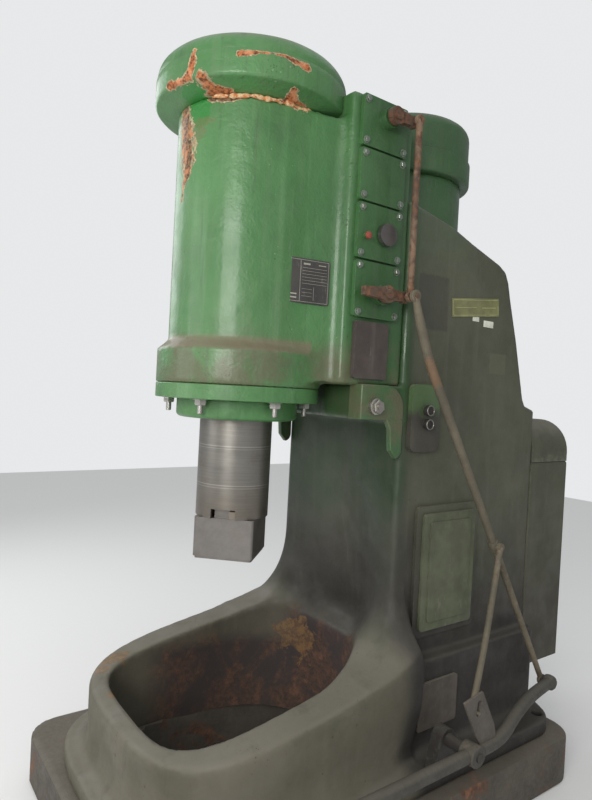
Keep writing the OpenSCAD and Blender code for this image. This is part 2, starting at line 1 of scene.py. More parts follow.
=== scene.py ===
"""Dressed model of a single-column pneumatic forging hammer with its anvil taken out.

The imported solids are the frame. The large castings are surfaces of smooth distance fields, the
plates, bolts, rods and turned parts are profiles carried along paths, and every finish is a
node material made of shared groups. All lengths are in metres; the ram axis is the Z axis.
"""

import logging
import math
from dataclasses import dataclass
from enum import Enum
from typing import Callable, Iterable, Sequence, Union

import bpy
import numpy as np
from mathutils import Matrix


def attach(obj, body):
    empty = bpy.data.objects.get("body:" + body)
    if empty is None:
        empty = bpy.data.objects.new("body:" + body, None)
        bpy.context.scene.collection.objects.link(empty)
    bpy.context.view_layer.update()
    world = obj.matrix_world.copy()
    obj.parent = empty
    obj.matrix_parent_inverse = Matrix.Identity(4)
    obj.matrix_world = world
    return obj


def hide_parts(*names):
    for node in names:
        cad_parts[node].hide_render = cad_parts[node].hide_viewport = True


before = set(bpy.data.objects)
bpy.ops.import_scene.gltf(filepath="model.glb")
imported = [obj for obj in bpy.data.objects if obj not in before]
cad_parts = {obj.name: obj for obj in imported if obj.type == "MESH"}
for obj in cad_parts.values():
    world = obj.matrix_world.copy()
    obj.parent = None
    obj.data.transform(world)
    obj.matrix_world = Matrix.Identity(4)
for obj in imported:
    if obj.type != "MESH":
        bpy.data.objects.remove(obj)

log = logging.getLogger("forging_hammer")
Array = np.ndarray
Field = Callable[[Array, Array, Array], Array]
Mesh = tuple[Array, list]
Point = Sequence[float]
Socket = bpy.types.NodeSocket
Value = Union[Socket, float]
Colour = Union[Socket, tuple]


def join(a: Array, b: Array, k: float | Array) -> Array:
    """Smooth union of two distances with a fillet of reach k: min(a, b) - h*h*k/4, h = max(k - |a - b|, 0)/k."""
    h = np.maximum(k - np.abs(a - b), 0) / k
    return np.minimum(a, b) - h * h * k / 4


def cut(a: Array, b: Array, k: float = 0.01) -> Array:
    """Solid a less solid b, with the edge rounded over a reach of k."""
    return -join(-a, b, k)


def clip(a: Array, b: Array, k: float = 0.01) -> Array:
    """Common part of a and b, with the edge rounded over a reach of k."""
    return -join(-a, -b, k)


def slab(d: Array, t: Array, t0: float, t1: float, r: float = 0.006) -> Array:
    """Extrusion of the plane distance d between t0 and t1 with edges of radius r.

    The two distances d + r and |t - middle| - half + r are joined as the sides of a rectangle:
    outside it is the length of their positive parts, inside the larger one, less r.

    Args:
        d: distance in the plane.
        t: coordinate along the extrusion.
        t0: its start.
        t1: its end.
        r: radius of the edges.

    Returns:
        the distance.
    """
    w = np.abs(t - (t0 + t1) / 2) - (t1 - t0) / 2 + r
    d = d + r
    return np.hypot(np.maximum(d, 0), np.maximum(w, 0)) + np.minimum(np.maximum(d, w), 0) - r


def rect(u: Array, v: Array, u0: float, u1: float, v0: float, v1: float, r: float = 0.01) -> Array:
    """Plane distance to a rectangle with corners of radius r."""
    return slab(np.abs(u - (u0 + u1) / 2) - (u1 - u0) / 2, v, v0, v1, r)


def oval(x: Array, y: Array, hw: float, y0: float, y1: float, n: float | Array) -> Array:
    """First-order distance to the oval |x/a|^n + |y/b|^n = 1: (s^(1/n) - 1) over its gradient.

    Args:
        x: coordinate across.
        y: coordinate along.
        hw: half width a.
        y0: front end.
        y1: rear end, 2b behind the front.
        n: the power.

    Returns:
        the distance.
    """
    a, b = np.abs(x) / hw, np.abs(y - (y0 + y1) / 2) / ((y1 - y0) / 2)
    s = np.maximum(a**n + b**n, 1e-9)
    g = np.hypot(a ** (n - 1) / hw, b ** (n - 1) / ((y1 - y0) / 2)) * s ** (1 / n - 1)
    return (s ** (1 / n) - 1) / np.maximum(g, 0.4)


def outline(u: Array, v: Array, points: Sequence[tuple[float, float]]) -> Array:
    """Signed distance to a closed polygon: the least distance to an edge, negative where the winding number is odd.

    Args:
        u: first coordinate.
        v: second coordinate.
        points: the corners.

    Returns:
        the distance.
    """
    d, inside = np.inf, np.zeros(np.broadcast(u, v).shape, bool)
    for (a0, b0), (a1, b1) in zip(points, [*points[1:], points[0]]):
        e0, e1 = a1 - a0, b1 - b0
        t = np.clip(((u - a0) * e0 + (v - b0) * e1) / (e0 * e0 + e1 * e1), 0, 1)
        d = np.minimum(d, np.hypot(u - a0 - t * e0, v - b0 - t * e1))
        if e1:
            inside ^= ((b0 > v) != (b1 > v)) & (u < a0 + (v - b0) * e0 / e1)
    return np.where(inside, -d, d)


def pillar(x: Array, y: Array, cx: float, cy: float, r: float) -> Array:
    """Plane distance to a circle of radius r about (cx, cy)."""
    return np.hypot(x - cx, y - cy) - r


def cast_surface(solid: Field, low: Sequence[float], high: Sequence[float], cell: float) -> Mesh:
    """Mesh of the surface where a distance field is zero, by dual cells on a grid.

    Each cell that the surface crosses gets one vertex, at the mean of the crossings on its edges,
    moved onto the surface by Newton steps p - f * grad f / |grad f|^2. Each crossed grid edge
    gives one quad of the four cells round it, turned to face out of the solid.

    Args:
        solid: the field, negative inside.
        low: lowest corner of the grid.
        high: highest corner of the grid.
        cell: side of a cell.

    Returns:
        vertices as an (n, 3) array and a list of quads.
    """
    axes = [np.arange(a - cell, b + 2 * cell, cell) for a, b in zip(low, high)]
    grid = np.meshgrid(*axes, indexing="ij", sparse=True)
    f = np.broadcast_to(solid(*grid), [len(a) for a in axes])
    inside = f < 0
    cells = tuple(n - 1 for n in f.shape)
    corners = [(i, j, k) for i in (0, 1) for j in (0, 1) for k in (0, 1)]
    count = sum(inside[i : i + cells[0], j : j + cells[1], k : k + cells[2]].astype(np.int8) for i, j, k in corners)
    at = np.argwhere((count > 0) & (count < 8))
    number = np.full(cells, -1)
    number[tuple(at.T)] = np.arange(len(at))
    value = {c: f[tuple((at + c).T)] for c in corners}
    total, hits = np.zeros((len(at), 3)), np.zeros(len(at))
    for c in corners:
        for axis in range(3):
            if c[axis]:
                continue
            other = tuple(1 if n == axis else c[n] for n in range(3))
            a, b = value[c], value[other]
            crossed = (a < 0) != (b < 0)
            t = np.where(crossed, a / np.where(crossed, a - b, 1), 0)
            point = np.array(c, float) + t[:, None] * (np.array(other) - np.array(c))
            total += point * crossed[:, None]
            hits += crossed
    v = np.array([a[0] for a in axes]) + (at + total / hits[:, None]) * cell
    h = cell * 0.1
    for _ in range(4):
        value0 = solid(*v.T)
        g = np.stack([(solid(*(v + h * e).T) - solid(*(v - h * e).T)) / (2 * h) for e in np.eye(3)], 1)
        step = -value0[:, None] * g / np.maximum((g * g).sum(1), 0.2)[:, None]
        v = v + np.clip(step, -0.5 * cell, 0.5 * cell)
    quads = []
    for axis in range(3):
        a, b = (axis + 1) % 3, (axis + 2) % 3
        first = np.moveaxis(inside, axis, 0)
        change = np.argwhere(first[1:] != first[:-1])
        starts = first[:-1][tuple(change.T)]
        index = np.empty_like(change)
        index[:, axis] = change[:, 0]
        index[:, [n for n in range(3) if n != axis]] = change[:, 1:]
        four = []
        for da, db in ((0, 0), (-1, 0), (-1, -1), (0, -1)):
            shift = index.copy()
            shift[:, a] += da
            shift[:, b] += db
            four.append(number[tuple(shift.T)])
        ring = np.stack(four, 1)
        ring[~starts] = ring[~starts][:, ::-1]
        quads.append(ring)
    return v, np.concatenate(quads).tolist()


def merge(parts: Iterable[Mesh]) -> Mesh:
    """Several meshes as one.

    Args:
        parts: the meshes.

    Returns:
        the vertices in order and the renumbered faces.
    """
    verts, faces, base = [], [], 0
    for v, f in parts:
        verts.append(v)
        faces += [[i + base for i in face] for face in f]
        base += len(v)
    return np.concatenate(verts), faces


def rings_mesh(rings: Array, closed: bool = False) -> Mesh:
    """Mesh of m rings of n points each, (m, n, 3); quad (i, j) joins ring i to i + 1 and point j to j + 1.

    Args:
        rings: the points; each ring runs anticlockwise seen from the far end of the stack.
        closed: joins the last ring to the first; otherwise both ends get a flat face.

    Returns:
        the mesh.
    """
    m, n = rings.shape[:2]
    last = m if closed else m - 1
    i, j = np.meshgrid(np.arange(last), np.arange(n), indexing="ij")
    k, i1 = (j + 1) % n, (i + 1) % m
    quads = np.stack([i * n + j, i * n + k, i1 * n + k, i1 * n + j], -1).reshape(-1, 4).tolist()
    if not closed:
        quads += [list(range(n))[::-1], list(range((m - 1) * n, m * n))]
    return rings.reshape(-1, 3), quads


def place(points: Array, origin: Sequence[float], axis: Sequence[float], up: Sequence[float] = (0, 0, 1)) -> Array:
    """Carries points (u, v, h) to origin + u*s + v*t + h*axis, where t is up made square to the axis and s = t x axis.

    Args:
        points: the points.
        origin: where (0, 0, 0) goes.
        axis: where h points.
        up: roughly where v points.

    Returns:
        the points in their place.
    """
    w = np.array(axis, float) / np.linalg.norm(axis)
    t = np.array(up, float) - w * np.dot(up, w)
    if np.linalg.norm(t) < 1e-6:
        t = np.array([0.0, 1.0, 0.0]) - w * w[1]
    t = t / np.linalg.norm(t)
    return np.array(origin, float) + points @ np.stack([np.cross(t, w), t, w])


def turned(profile: Sequence[tuple[float, float]], origin: Sequence[float], axis: Sequence[float] = (0, 0, 1),
           sides: int = 48) -> Mesh:
    """Surface of revolution: each (radius, height) of the profile is a ring (r cos a, r sin a, h), ends closed flat.

    Args:
        profile: the (radius, height) pairs.
        origin: where height 0 lies.
        axis: direction of the height.
        sides: points a ring.

    Returns:
        the mesh.
    """
    a = np.linspace(0, 2 * np.pi, sides, endpoint=False)
    p = np.array(profile, float)
    rings = np.stack([p[:, :1] * np.cos(a), p[:, :1] * np.sin(a), np.repeat(p[:, 1:], sides, 1)], -1)
    return rings_mesh(place(rings, origin, axis))


def arc(centre: Point, r: float, start: float, end: float, count: int) -> Array:
    """Points centre + r (cos a, sin a) for angles a in degrees from start to end, as (count, 2)."""
    a = np.radians(np.linspace(start, end, count))
    return np.array(centre, float) + r * np.stack([np.cos(a), np.sin(a)], 1)


def across(outline_yz: Array, x0: float, x1: float) -> Mesh:
    """Outline of (y, z) points, anticlockwise seen from +X, carried straight from x0 to x1 and closed flat."""
    return rings_mesh(np.array([np.column_stack([np.full(len(outline_yz), x), outline_yz]) for x in (x0, x1)]))


def disc(centre: Point, axis: Point, radius: float, thick: float) -> Mesh:
    """Round disc with broken edges, half its thickness on either side of its centre.

    Args:
        centre: its centre.
        axis: its axis.
        radius: its radius.
        thick: its thickness.

    Returns:
        the mesh.
    """
    soft, half = 0.0015, thick / 2
    profile = [(radius * 0.4, -half), (radius - soft, -half), (radius, soft - half), (radius, half - soft),
               (radius - soft, half), (radius * 0.4, half)]
    return turned(profile, centre, axis, 32)


def torus(centre: Point, axis: Point, radius: float, section: float) -> Mesh:
    """Ring ((R + r cos b) cos a, (R + r cos b) sin a, -r sin b) about an axis.

    Args:
        centre: its centre.
        axis: its axis.
        radius: R.
        section: r.

    Returns:
        the mesh.
    """
    a, b = np.meshgrid(np.linspace(0, 2 * np.pi, 40, endpoint=False), np.linspace(0, 2 * np.pi, 12, endpoint=False),
                       indexing="ij")
    r = radius + section * np.cos(b)
    points = np.stack([r * np.cos(a), r * np.sin(a), -section * np.sin(b)], -1)
    return rings_mesh(place(points, centre, axis), closed=True)


def rounded_outline(hw: float, hh: float, r: float, per_corner: int = 7) -> Array:
    """Rectangle of half sizes hw, hh with corner arcs of radius r, anticlockwise, as (n, 2).

    Args:
        hw: half width.
        hh: half height.
        r: corner radius.
        per_corner: points a corner.

    Returns:
        the points.
    """
    a = np.linspace(0, np.pi / 2, per_corner)
    bow = np.stack([np.cos(a), np.sin(a)], 1) * r
    turn = [bow, bow[::-1] * (-1, 1), -bow, bow[::-1] * (1, -1)]
    middle = [(hw - r, hh - r), (r - hw, hh - r), (r - hw, r - hh), (hw - r, r - hh)]
    return np.concatenate([t + m for t, m in zip(turn, middle)])


def plate(hw: float, hh: float, r: float, steps: Sequence[tuple[float, float]], origin: Sequence[float],
          axis: Sequence[float], up: Sequence[float] = (0, 0, 1)) -> Mesh:
    """Stack of rounded rectangles: step (inset, height) is the outline moved in by inset at that height.

    Args:
        hw: half width.
        hh: half height.
        r: corner radius.
        steps: the (inset, height) pairs.
        origin: middle of the back.
        axis: direction of the height.
        up: direction of hh.

    Returns:
        the mesh.
    """
    rings = []
    for inset, h in steps:
        a, b = hw - inset, hh - inset
        o = rounded_outline(a, b, min(max(r - inset, 0.0003), 0.95 * a, 0.95 * b))
        rings.append(np.column_stack([o, np.full(len(o), h)]))
    return rings_mesh(place(np.array(rings), origin, axis, up))


def smooth_path(points: Sequence[Sequence[float]], bend: float, per_bend: int = 8) -> Array:
    """Polyline with each corner replaced by the curve (1-t)^2 a + 2t(1-t) b + t^2 c over a length bend on either side.

    Args:
        points: the corners.
        bend: length of the bend on either side.
        per_bend: points a bend.

    Returns:
        the path.
    """
    p = np.array(points, float)
    t = np.linspace(0, 1, per_bend)[:, None]
    out = [p[:1]]
    for a, b, c in zip(p, p[1:], p[2:]):
        s = min(bend, 0.48 * np.linalg.norm(b - a), 0.48 * np.linalg.norm(c - b))
        u, w = b + s * (a - b) / np.linalg.norm(a - b), b + s * (c - b) / np.linalg.norm(c - b)
        out.append((1 - t) ** 2 * u + 2 * t * (1 - t) * b + t * t * w)
    return np.concatenate([*out, p[-1:]])


def tube(path: Array, radius: float | Array, sides: int = 20, side: Sequence[float] = (1, 0, 0),
         round_ends: bool = False) -> Mesh:
    """Round bar along a path: ring i is p_i + r_i (n cos a + b sin a), with n, b square to the tangent.

    Args:
        path: (m, 3) points.
        radius: one radius or one a point.
        sides: points a ring.
        side: a direction that the path never takes, from which n and b are made.
        round_ends: adds a rounded end cap of three rings at both ends.

    Returns:
        the mesh.
    """
    r = np.broadcast_to(np.asarray(radius, float), len(path)).copy()
    if round_ends:
        first, last = path[0] - path[1], path[-1] - path[-2]
        first, last = first / np.linalg.norm(first), last / np.linalg.norm(last)
        push, keep = np.array([0.0, 0.30, 0.42]), np.array([1.0, 0.86, 0.55])
        path = np.concatenate([path[0] + (push[::-1] * r[0])[:, None] * first, path[1:-1],
                               path[-1] + (push * r[-1])[:, None] * last])
        r = np.concatenate([r[0] * keep[::-1], r[1:-1], r[-1] * keep])
    t = np.gradient(path, axis=0)
    t /= np.linalg.norm(t, axis=1)[:, None]
    b = np.cross(t, np.array(side, float))
    b /= np.linalg.norm(b, axis=1)[:, None]
    n = np.cross(b, t)
    a = np.linspace(0, 2 * np.pi, sides, endpoint=False)
    rings = path[:, None] + r[:, None, None] * (n[:, None] * np.cos(a)[:, None] + b[:, None] * np.sin(a)[:, None])
    return rings_mesh(rings)


def hex_bolt(origin: Sequence[float], axis: Sequence[float], size: float, height: float,
             washer: float = 0.0, turn: float = 0.0) -> Mesh:
    """Hexagon head of corner radius size with a chamfered crown, on a washer if its thickness is given.

    Args:
        origin: middle of its seat.
        axis: where it points.
        size: corner radius.
        height: height of the head.
        washer: thickness of the washer, or 0.
        turn: its turn about the axis.

    Returns:
        the mesh.
    """
    base = washer
    head = [(size, base), (size, base + height * 0.8), (size * 0.86, base + height), (size * 0.3, base + height)]
    c, s = math.cos(turn), math.sin(turn)
    a = np.array([c, s, 0.0]) if abs(axis[2]) > 0.9 else np.array([0, s, c])
    ang = np.linspace(0, 2 * np.pi, 6, endpoint=False)
    p = np.array(head)
    rings = np.stack([p[:, :1] * np.cos(ang), p[:, :1] * np.sin(ang), np.repeat(p[:, 1:], 6, 1)], -1)
    parts = [rings_mesh(place(rings, origin, axis, a))]
    if washer:
        parts.append(turned([(size * 1.25, 0), (size * 1.25, washer * 0.8), (size * 1.2, washer), (size * 0.4, washer)],
                            origin, axis, 28))
    return merge(parts)


def piece(name: str, mesh: Mesh, body: str, finish: "Finish", bevel: float = 0.0, flat: bool = False,
          stands_for: Sequence[str] = ()) -> bpy.types.Object:
    """Makes one named piece that rides a body and wears a finish.

    Args:
        name: name of the object.
        mesh: its vertices and faces.
        body: the body that it moves with.
        finish: the finish that makes its material.
        bevel: width of a bevel on edges sharper than 35 degrees, or 0.
        flat: leaves the faces flat-shaded.
        stands_for: CAD nodes that it replaces.

    Returns:
        the object.
    """
    verts, faces = mesh
    data = bpy.data.meshes.new(name)
    data.from_pydata(verts.tolist(), [], faces)
    data.validate()
    if not flat:
        data.polygons.foreach_set("use_smooth", np.ones(len(data.polygons), bool))
        if bevel or len(faces) < 30000:
            data.set_sharp_from_angle(angle=math.radians(38))
    data.update()
    obj = bpy.data.objects.new(name, data)
    bpy.context.scene.collection.objects.link(obj)
    if bevel:
        modifier = obj.modifiers.new("Soft edges", "BEVEL")
        modifier.width, modifier.segments = bevel, 2
        modifier.limit_method, modifier.angle_limit = "ANGLE", math.radians(35)
        modifier.harden_normals = False
    obj.data.materials.append(finish.material())
    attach(obj, body)
    if stands_for:
        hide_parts(*stands_for)
    log.info("%s: %d vertices on %s", name, len(verts), body)
    return obj


def from_node(name: str) -> Mesh:
    """Copy of a CAD node's triangles with its doubled vertices merged: equal rounded positions share one vertex.

    Args:
        name: the node.

    Returns:
        the mesh.
    """
    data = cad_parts[name].data
    co = np.zeros(len(data.vertices) * 3, np.float32)
    data.vertices.foreach_get("co", co)
    data.calc_loop_triangles()
    tri = np.zeros(len(data.loop_triangles) * 3, np.int32)
    data.loop_triangles.foreach_get("vertices", tri)
    key, first, back = np.unique(np.round(co.reshape(-1, 3), 6), axis=0, return_index=True, return_inverse=True)
    tri = back.reshape(-1)[tri].reshape(-1, 3)
    tri = tri[(tri[:, 0] != tri[:, 1]) & (tri[:, 1] != tri[:, 2]) & (tri[:, 0] != tri[:, 2])]
    return key.astype(float), tri.tolist()


class Graph:
    """Short way to write a node tree: every method adds one node and returns its output socket."""

    def __init__(self, tree: bpy.types.NodeTree) -> None:
        """Takes the tree to write in."""
        self.tree = tree

    def node(self, kind: str, inputs: dict | None = None, out: int | str = 0, **settings: object) -> Socket:
        """Adds a node.

        Args:
            kind: the node's type, without the leading ShaderNode.
            inputs: values or sockets by input name or number.
            out: the output to return.
            settings: properties of the node.

        Returns:
            the output's socket.
        """
        n = self.tree.nodes.new("ShaderNode" + kind)
        for key, value in settings.items():
            setattr(n, key, value)
        for key, value in (inputs or {}).items():
            socket = n.inputs[key]
            if isinstance(value, bpy.types.NodeSocket):
                self.tree.links.new(value, socket)
            else:
                socket.default_value = value
        return n.outputs[out]

    def place(self) -> Socket:
        """Object coordinates."""
        return self.node("TexCoord", out="Object")

    def xyz(self, vector: Socket) -> tuple:
        """The three parts of a vector."""
        n = self.tree.nodes.new("ShaderNodeSeparateXYZ")
        self.tree.links.new(vector, n.inputs[0])
        return tuple(n.outputs)

    def stretch(self, vector: Socket, scale: Point) -> Socket:
        """The vector with its parts scaled."""
        return self.node("Mapping", {"Vector": vector, "Scale": scale})

    def noise(self, vector: Socket, scale: float, detail: float = 4, rough: float = 0.55,
              warp: float = 0.0) -> Socket:
        """Fractal noise from 0 to 1."""
        return self.node("TexNoise", {"Vector": vector, "Scale": scale, "Detail": detail, "Roughness": rough,
                                      "Distortion": warp}, out="Fac")

    def step(self, value: Value, low: float, high: float, a: float = 0.0, b: float = 1.0) -> Socket:
        """Smooth step from a at low to b at high."""
        return self.node("MapRange", {"Value": value, "From Min": low, "From Max": high, "To Min": a, "To Max": b},
                         interpolation_type="SMOOTHSTEP", clamp=True)

    def math(self, kind: str, a: Value, b: Value = 0.0) -> Socket:
        """One operation on two numbers."""
        return self.node("Math", {0: a, 1: b}, operation=kind, use_clamp=False)

    def both(self, *values: Value) -> Socket:
        """Product of masks."""
        out = values[0]
        for value in values[1:]:
            out = self.math("MULTIPLY", out, value)
        return out

    def either(self, *values: Value) -> Socket:
        """Largest of masks."""
        out = values[0]
        for value in values[1:]:
            out = self.math("MAXIMUM", out, value)
        return out

    def mix(self, mask: Value, a: Colour, b: Colour) -> Socket:
        """Colour a where the mask is 0, colour b where it is 1."""
        return self.node("Mix", {0: mask, 6: a, 7: b}, out=2, data_type="RGBA")

    def shade(self, colour: Colour, by: Value) -> Socket:
        """A colour times a number."""
        return self.node("VectorMath", {0: colour, 3: by}, operation="SCALE")


def srgb(r: int, g: int, b: int) -> tuple:
    """A colour as seen on a screen, 0 to 255, made linear."""
    c = np.array([r, g, b]) / 255
    return (*np.where(c <= 0.04045, c / 12.92, ((c + 0.055) / 1.055) ** 2.4).tolist(), 1.0)


class Groups:
    """The shared effects, each built once as a node group."""

    made: dict[str, bpy.types.NodeTree] = {}

    @classmethod
    def tree(cls, name: str, inputs: dict[str, tuple[str, object]], outputs: dict[str, str],
             write: Callable[[Graph, dict], dict]) -> bpy.types.NodeTree:
        """Builds a group once.

        Args:
            name: its name.
            inputs: input name to (socket type, start value).
            outputs: output name to socket type.
            write: fills the tree and returns output name to socket.

        Returns:
            the group.
        """
        if name in cls.made:
            return cls.made[name]
        tree = bpy.data.node_groups.new(name, "ShaderNodeTree")
        for key, (kind, value) in inputs.items():
            socket = tree.interface.new_socket(key, in_out="INPUT", socket_type=kind)
            if value is not None:
                socket.default_value = value
        for key, kind in outputs.items():
            tree.interface.new_socket(key, in_out="OUTPUT", socket_type=kind)
        start, end = tree.nodes.new("NodeGroupInput"), tree.nodes.new("NodeGroupOutput")
        result = write(Graph(tree), {s.name: s for s in start.outputs if s.name})
        for key, socket in result.items():
            tree.links.new(socket, end.inputs[key])
        cls.made[name] = tree
        return tree

    @staticmethod
    def use(g: Graph, tree: bpy.types.NodeTree, values: dict) -> dict:
        """Places a group in a tree with its own values and returns its outputs by name.

        Args:
            g: the tree to write in.
            tree: the group.
            values: its inputs by name.

        Returns:
            its outputs by name.
        """
        n = g.tree.nodes.new("ShaderNodeGroup")
        n.node_tree = tree
        for key, value in values.items():
            if isinstance(value, bpy.types.NodeSocket):
                g.tree.links.new(value, n.inputs[key])
            else:
                n.inputs[key].default_value = value
        return {s.name: s for s in n.outputs}

    @classmethod
    def settled(cls, g: Graph, place: Socket, amount: float, low: float = 0.35, streaks: float = 0.4) -> Socket:
        """Dust mask: what faces up gathers dust, broken by two noises, with faint streaks down the sides.

        Args:
            g: the tree to write in.
            place: position on the piece.
            amount: how much dust there is.
            low: veil on upright faces.
            streaks: runs on upright faces.

        Returns:
            the mask.
        """

        def write(g: Graph, s: dict) -> dict:
            """Writes the dust on top and the veil and runs on the sides."""
            up = g.xyz(g.node("NewGeometry", out="Normal"))[2]
            rag = g.math("MULTIPLY", g.math("SUBTRACT", g.noise(s["Place"], 9, 5), 0.5), 0.5)
            flat = g.step(g.math("ADD", up, rag), 0.35, 0.95)
            veil = g.step(g.noise(s["Place"], 3.2, 6, 0.62), 0.38, 0.72)
            runs = g.step(g.noise(g.stretch(s["Place"], (14, 14, 1.1)), 1.6, 4, 0.6), 0.5, 0.78)
            side = g.math("ADD", g.math("MULTIPLY", veil, s["Low"]), g.math("MULTIPLY", runs, s["Streaks"]))
            mask = g.math("MULTIPLY", g.either(flat, g.both(side, 0.9)), s["Amount"])
            return {"Mask": g.math("MINIMUM", mask, 1.0)}

        tree = cls.tree("Settled dust", {"Place": ("NodeSocketVector", None), "Amount": ("NodeSocketFloat", 1.0),
                                         "Low": ("NodeSocketFloat", 0.35), "Streaks": ("NodeSocketFloat", 0.4)},
                        {"Mask": "NodeSocketFloat"}, write)
        return cls.use(g, tree, {"Place": place, "Amount": amount, "Low": low, "Streaks": streaks})["Mask"]

    @classmethod
    def rust(cls, g: Graph, place: Socket, cover: float, scale: float = 14.0) -> dict:
        """Rust: a mask of ragged patches, its colour in three browns and its grainy height.

        Args:
            g: the tree to write in.
            place: position on the piece.
            cover: share that is rusty.
            scale: scale of the patches.

        Returns:
            Mask, Colour and Height.
        """

        def write(g: Graph, s: dict) -> dict:
            """Writes the patches, their browns and their grain."""
            big = g.node("TexNoise", {"Vector": s["Place"], "Scale": s["Scale"], "Detail": 8.0, "Roughness": 0.68,
                                      "Distortion": 0.6}, out="Fac")
            edge = g.math("SUBTRACT", 0.95, g.math("MULTIPLY", s["Cover"], 0.75))
            mask = g.node("MapRange", {"Value": big, "From Min": g.math("SUBTRACT", edge, 0.06),
                                       "From Max": g.math("ADD", edge, 0.06)}, interpolation_type="SMOOTHSTEP")
            tone = g.noise(s["Place"], 55, 6, 0.7)
            dark = g.mix(g.step(tone, 0.38, 0.62), srgb(60, 42, 33), srgb(104, 70, 49))
            colour = g.mix(g.step(g.noise(s["Place"], 21, 5, 0.65), 0.5, 0.74), dark, srgb(138, 92, 62))
            return {"Mask": mask, "Colour": colour, "Height": tone}

        tree = cls.tree("Rust", {"Place": ("NodeSocketVector", None), "Cover": ("NodeSocketFloat", 0.5),
                                 "Scale": ("NodeSocketFloat", 14.0)},
                        {"Mask": "NodeSocketFloat", "Colour": "NodeSocketColor", "Height": "NodeSocketFloat"}, write)
        return cls.use(g, tree, {"Place": place, "Cover": cover, "Scale": scale})

    @classmethod
    def worn_edge(cls, g: Graph, place: Socket, width: float) -> Socket:
        """Mask of outer edges rubbed bare: the curvature over a threshold, broken by noise.

        Args:
            g: the tree to write in.
            place: position on the piece.
            width: how far the wear reaches.

        Returns:
            the mask.
        """

        def write(g: Graph, s: dict) -> dict:
            """Writes the curvature with its ragged threshold."""
            point = g.node("NewGeometry", out="Pointiness")
            ragged = g.math("MULTIPLY", g.math("SUBTRACT", g.noise(s["Place"], 38, 6, 0.7), 0.5), 0.10)
            value = g.math("ADD", point, ragged)
            return {"Mask": g.node("MapRange", {"Value": value, "From Min": g.math("SUBTRACT", 0.56, s["Width"]),
                                                "From Max": g.math("SUBTRACT", 0.60, s["Width"])},
                                   interpolation_type="SMOOTHSTEP")}

        tree = cls.tree("Worn edge", {"Place": ("NodeSocketVector", None), "Width": ("NodeSocketFloat", 0.02)},
                        {"Mask": "NodeSocketFloat"}, write)
        return cls.use(g, tree, {"Place": place, "Width": width})["Mask"]

    @classmethod
    def chips(cls, g: Graph, place: Socket, scale: float, rate: float) -> Socket:
        """Mask of small paint chips: round cells of random size, kept where a second noise allows.

        Args:
            g: the tree to write in.
            place: position on the piece.
            scale: scale of the cells.
            rate: size of the largest chip.

        Returns:
            the mask.
        """

        def write(g: Graph, s: dict) -> dict:
            """Writes the cells and the noise that picks them."""
            push = g.node("TexNoise", {"Vector": s["Place"], "Scale": 60.0, "Detail": 3.0}, out="Color")
            warp = g.node("VectorMath", {0: s["Place"], 1: g.shade(push, 0.012)}, operation="ADD")
            far = g.node("TexVoronoi", {"Vector": warp, "Scale": s["Scale"], "Randomness": 1.0}, out="Distance")
            size = g.math("MULTIPLY", g.step(g.noise(s["Place"], 7, 3), 0.5, 0.75), s["Rate"])
            inner = g.math("MULTIPLY", size, 0.75)
            return {"Mask": g.node("MapRange", {"Value": far, "From Min": size, "From Max": inner},
                                   interpolation_type="SMOOTHSTEP")}

        tree = cls.tree("Chips", {"Place": ("NodeSocketVector", None), "Scale": ("NodeSocketFloat", 30.0),
                                  "Rate": ("NodeSocketFloat", 0.2)}, {"Mask": "NodeSocketFloat"}, write)
        return cls.use(g, tree, {"Place": place, "Scale": scale, "Rate": rate})["Mask"]

    @classmethod
    def patch(cls, g: Graph, place: Socket, centre: Point, size: Point, ragged: float = 0.5) -> Socket:
        """Mask of one ragged patch: the length of (place - centre) / size under 1, pushed about by noise.

        Args:
            g: the tree to write in.
            place: position on the piece.
            centre: its centre.
            size: its half sizes.
            ragged: how far noise pushes its edge.

        Returns:
            the mask.
        """

        def write(g: Graph, s: dict) -> dict:
            """Writes the length of the scaled offset with its push."""
            away = g.node("VectorMath", {0: s["Place"], 1: s["Centre"]}, operation="SUBTRACT")
            away = g.node("VectorMath", {0: away, 1: s["Size"]}, operation="DIVIDE")
            far = g.node("VectorMath", {0: away}, out="Value", operation="LENGTH")
            push = g.math("MULTIPLY", g.math("SUBTRACT", g.noise(s["Place"], 17, 7, 0.66, 0.4), 0.5), s["Ragged"])
            value = g.math("ADD", far, g.math("MULTIPLY", push, 3.2))
            return {"Mask": g.step(value, 1.05, 0.9)}

        tree = cls.tree("Patch", {"Place": ("NodeSocketVector", None), "Centre": ("NodeSocketVector", None),
                                  "Size": ("NodeSocketVector", None), "Ragged": ("NodeSocketFloat", 0.5)},
                        {"Mask": "NodeSocketFloat"}, write)
        return cls.use(g, tree, {"Place": place, "Centre": centre, "Size": size, "Ragged": ragged})["Mask"]

    @classmethod
    def scar(cls, g: Graph, place: Socket, start: Point, end: Point, widths: tuple[float, float]) -> Socket:
        """Depth into one torn strip: 1 - distance / width of a segment whose width changes evenly along it.

        Args:
            g: the tree to write in.
            place: position on the piece.
            start: first end of the segment.
            end: its other end.
            widths: half width at the first and at the other end.

        Returns:
            a value that is 1 on the segment and 0 at its edge.
        """

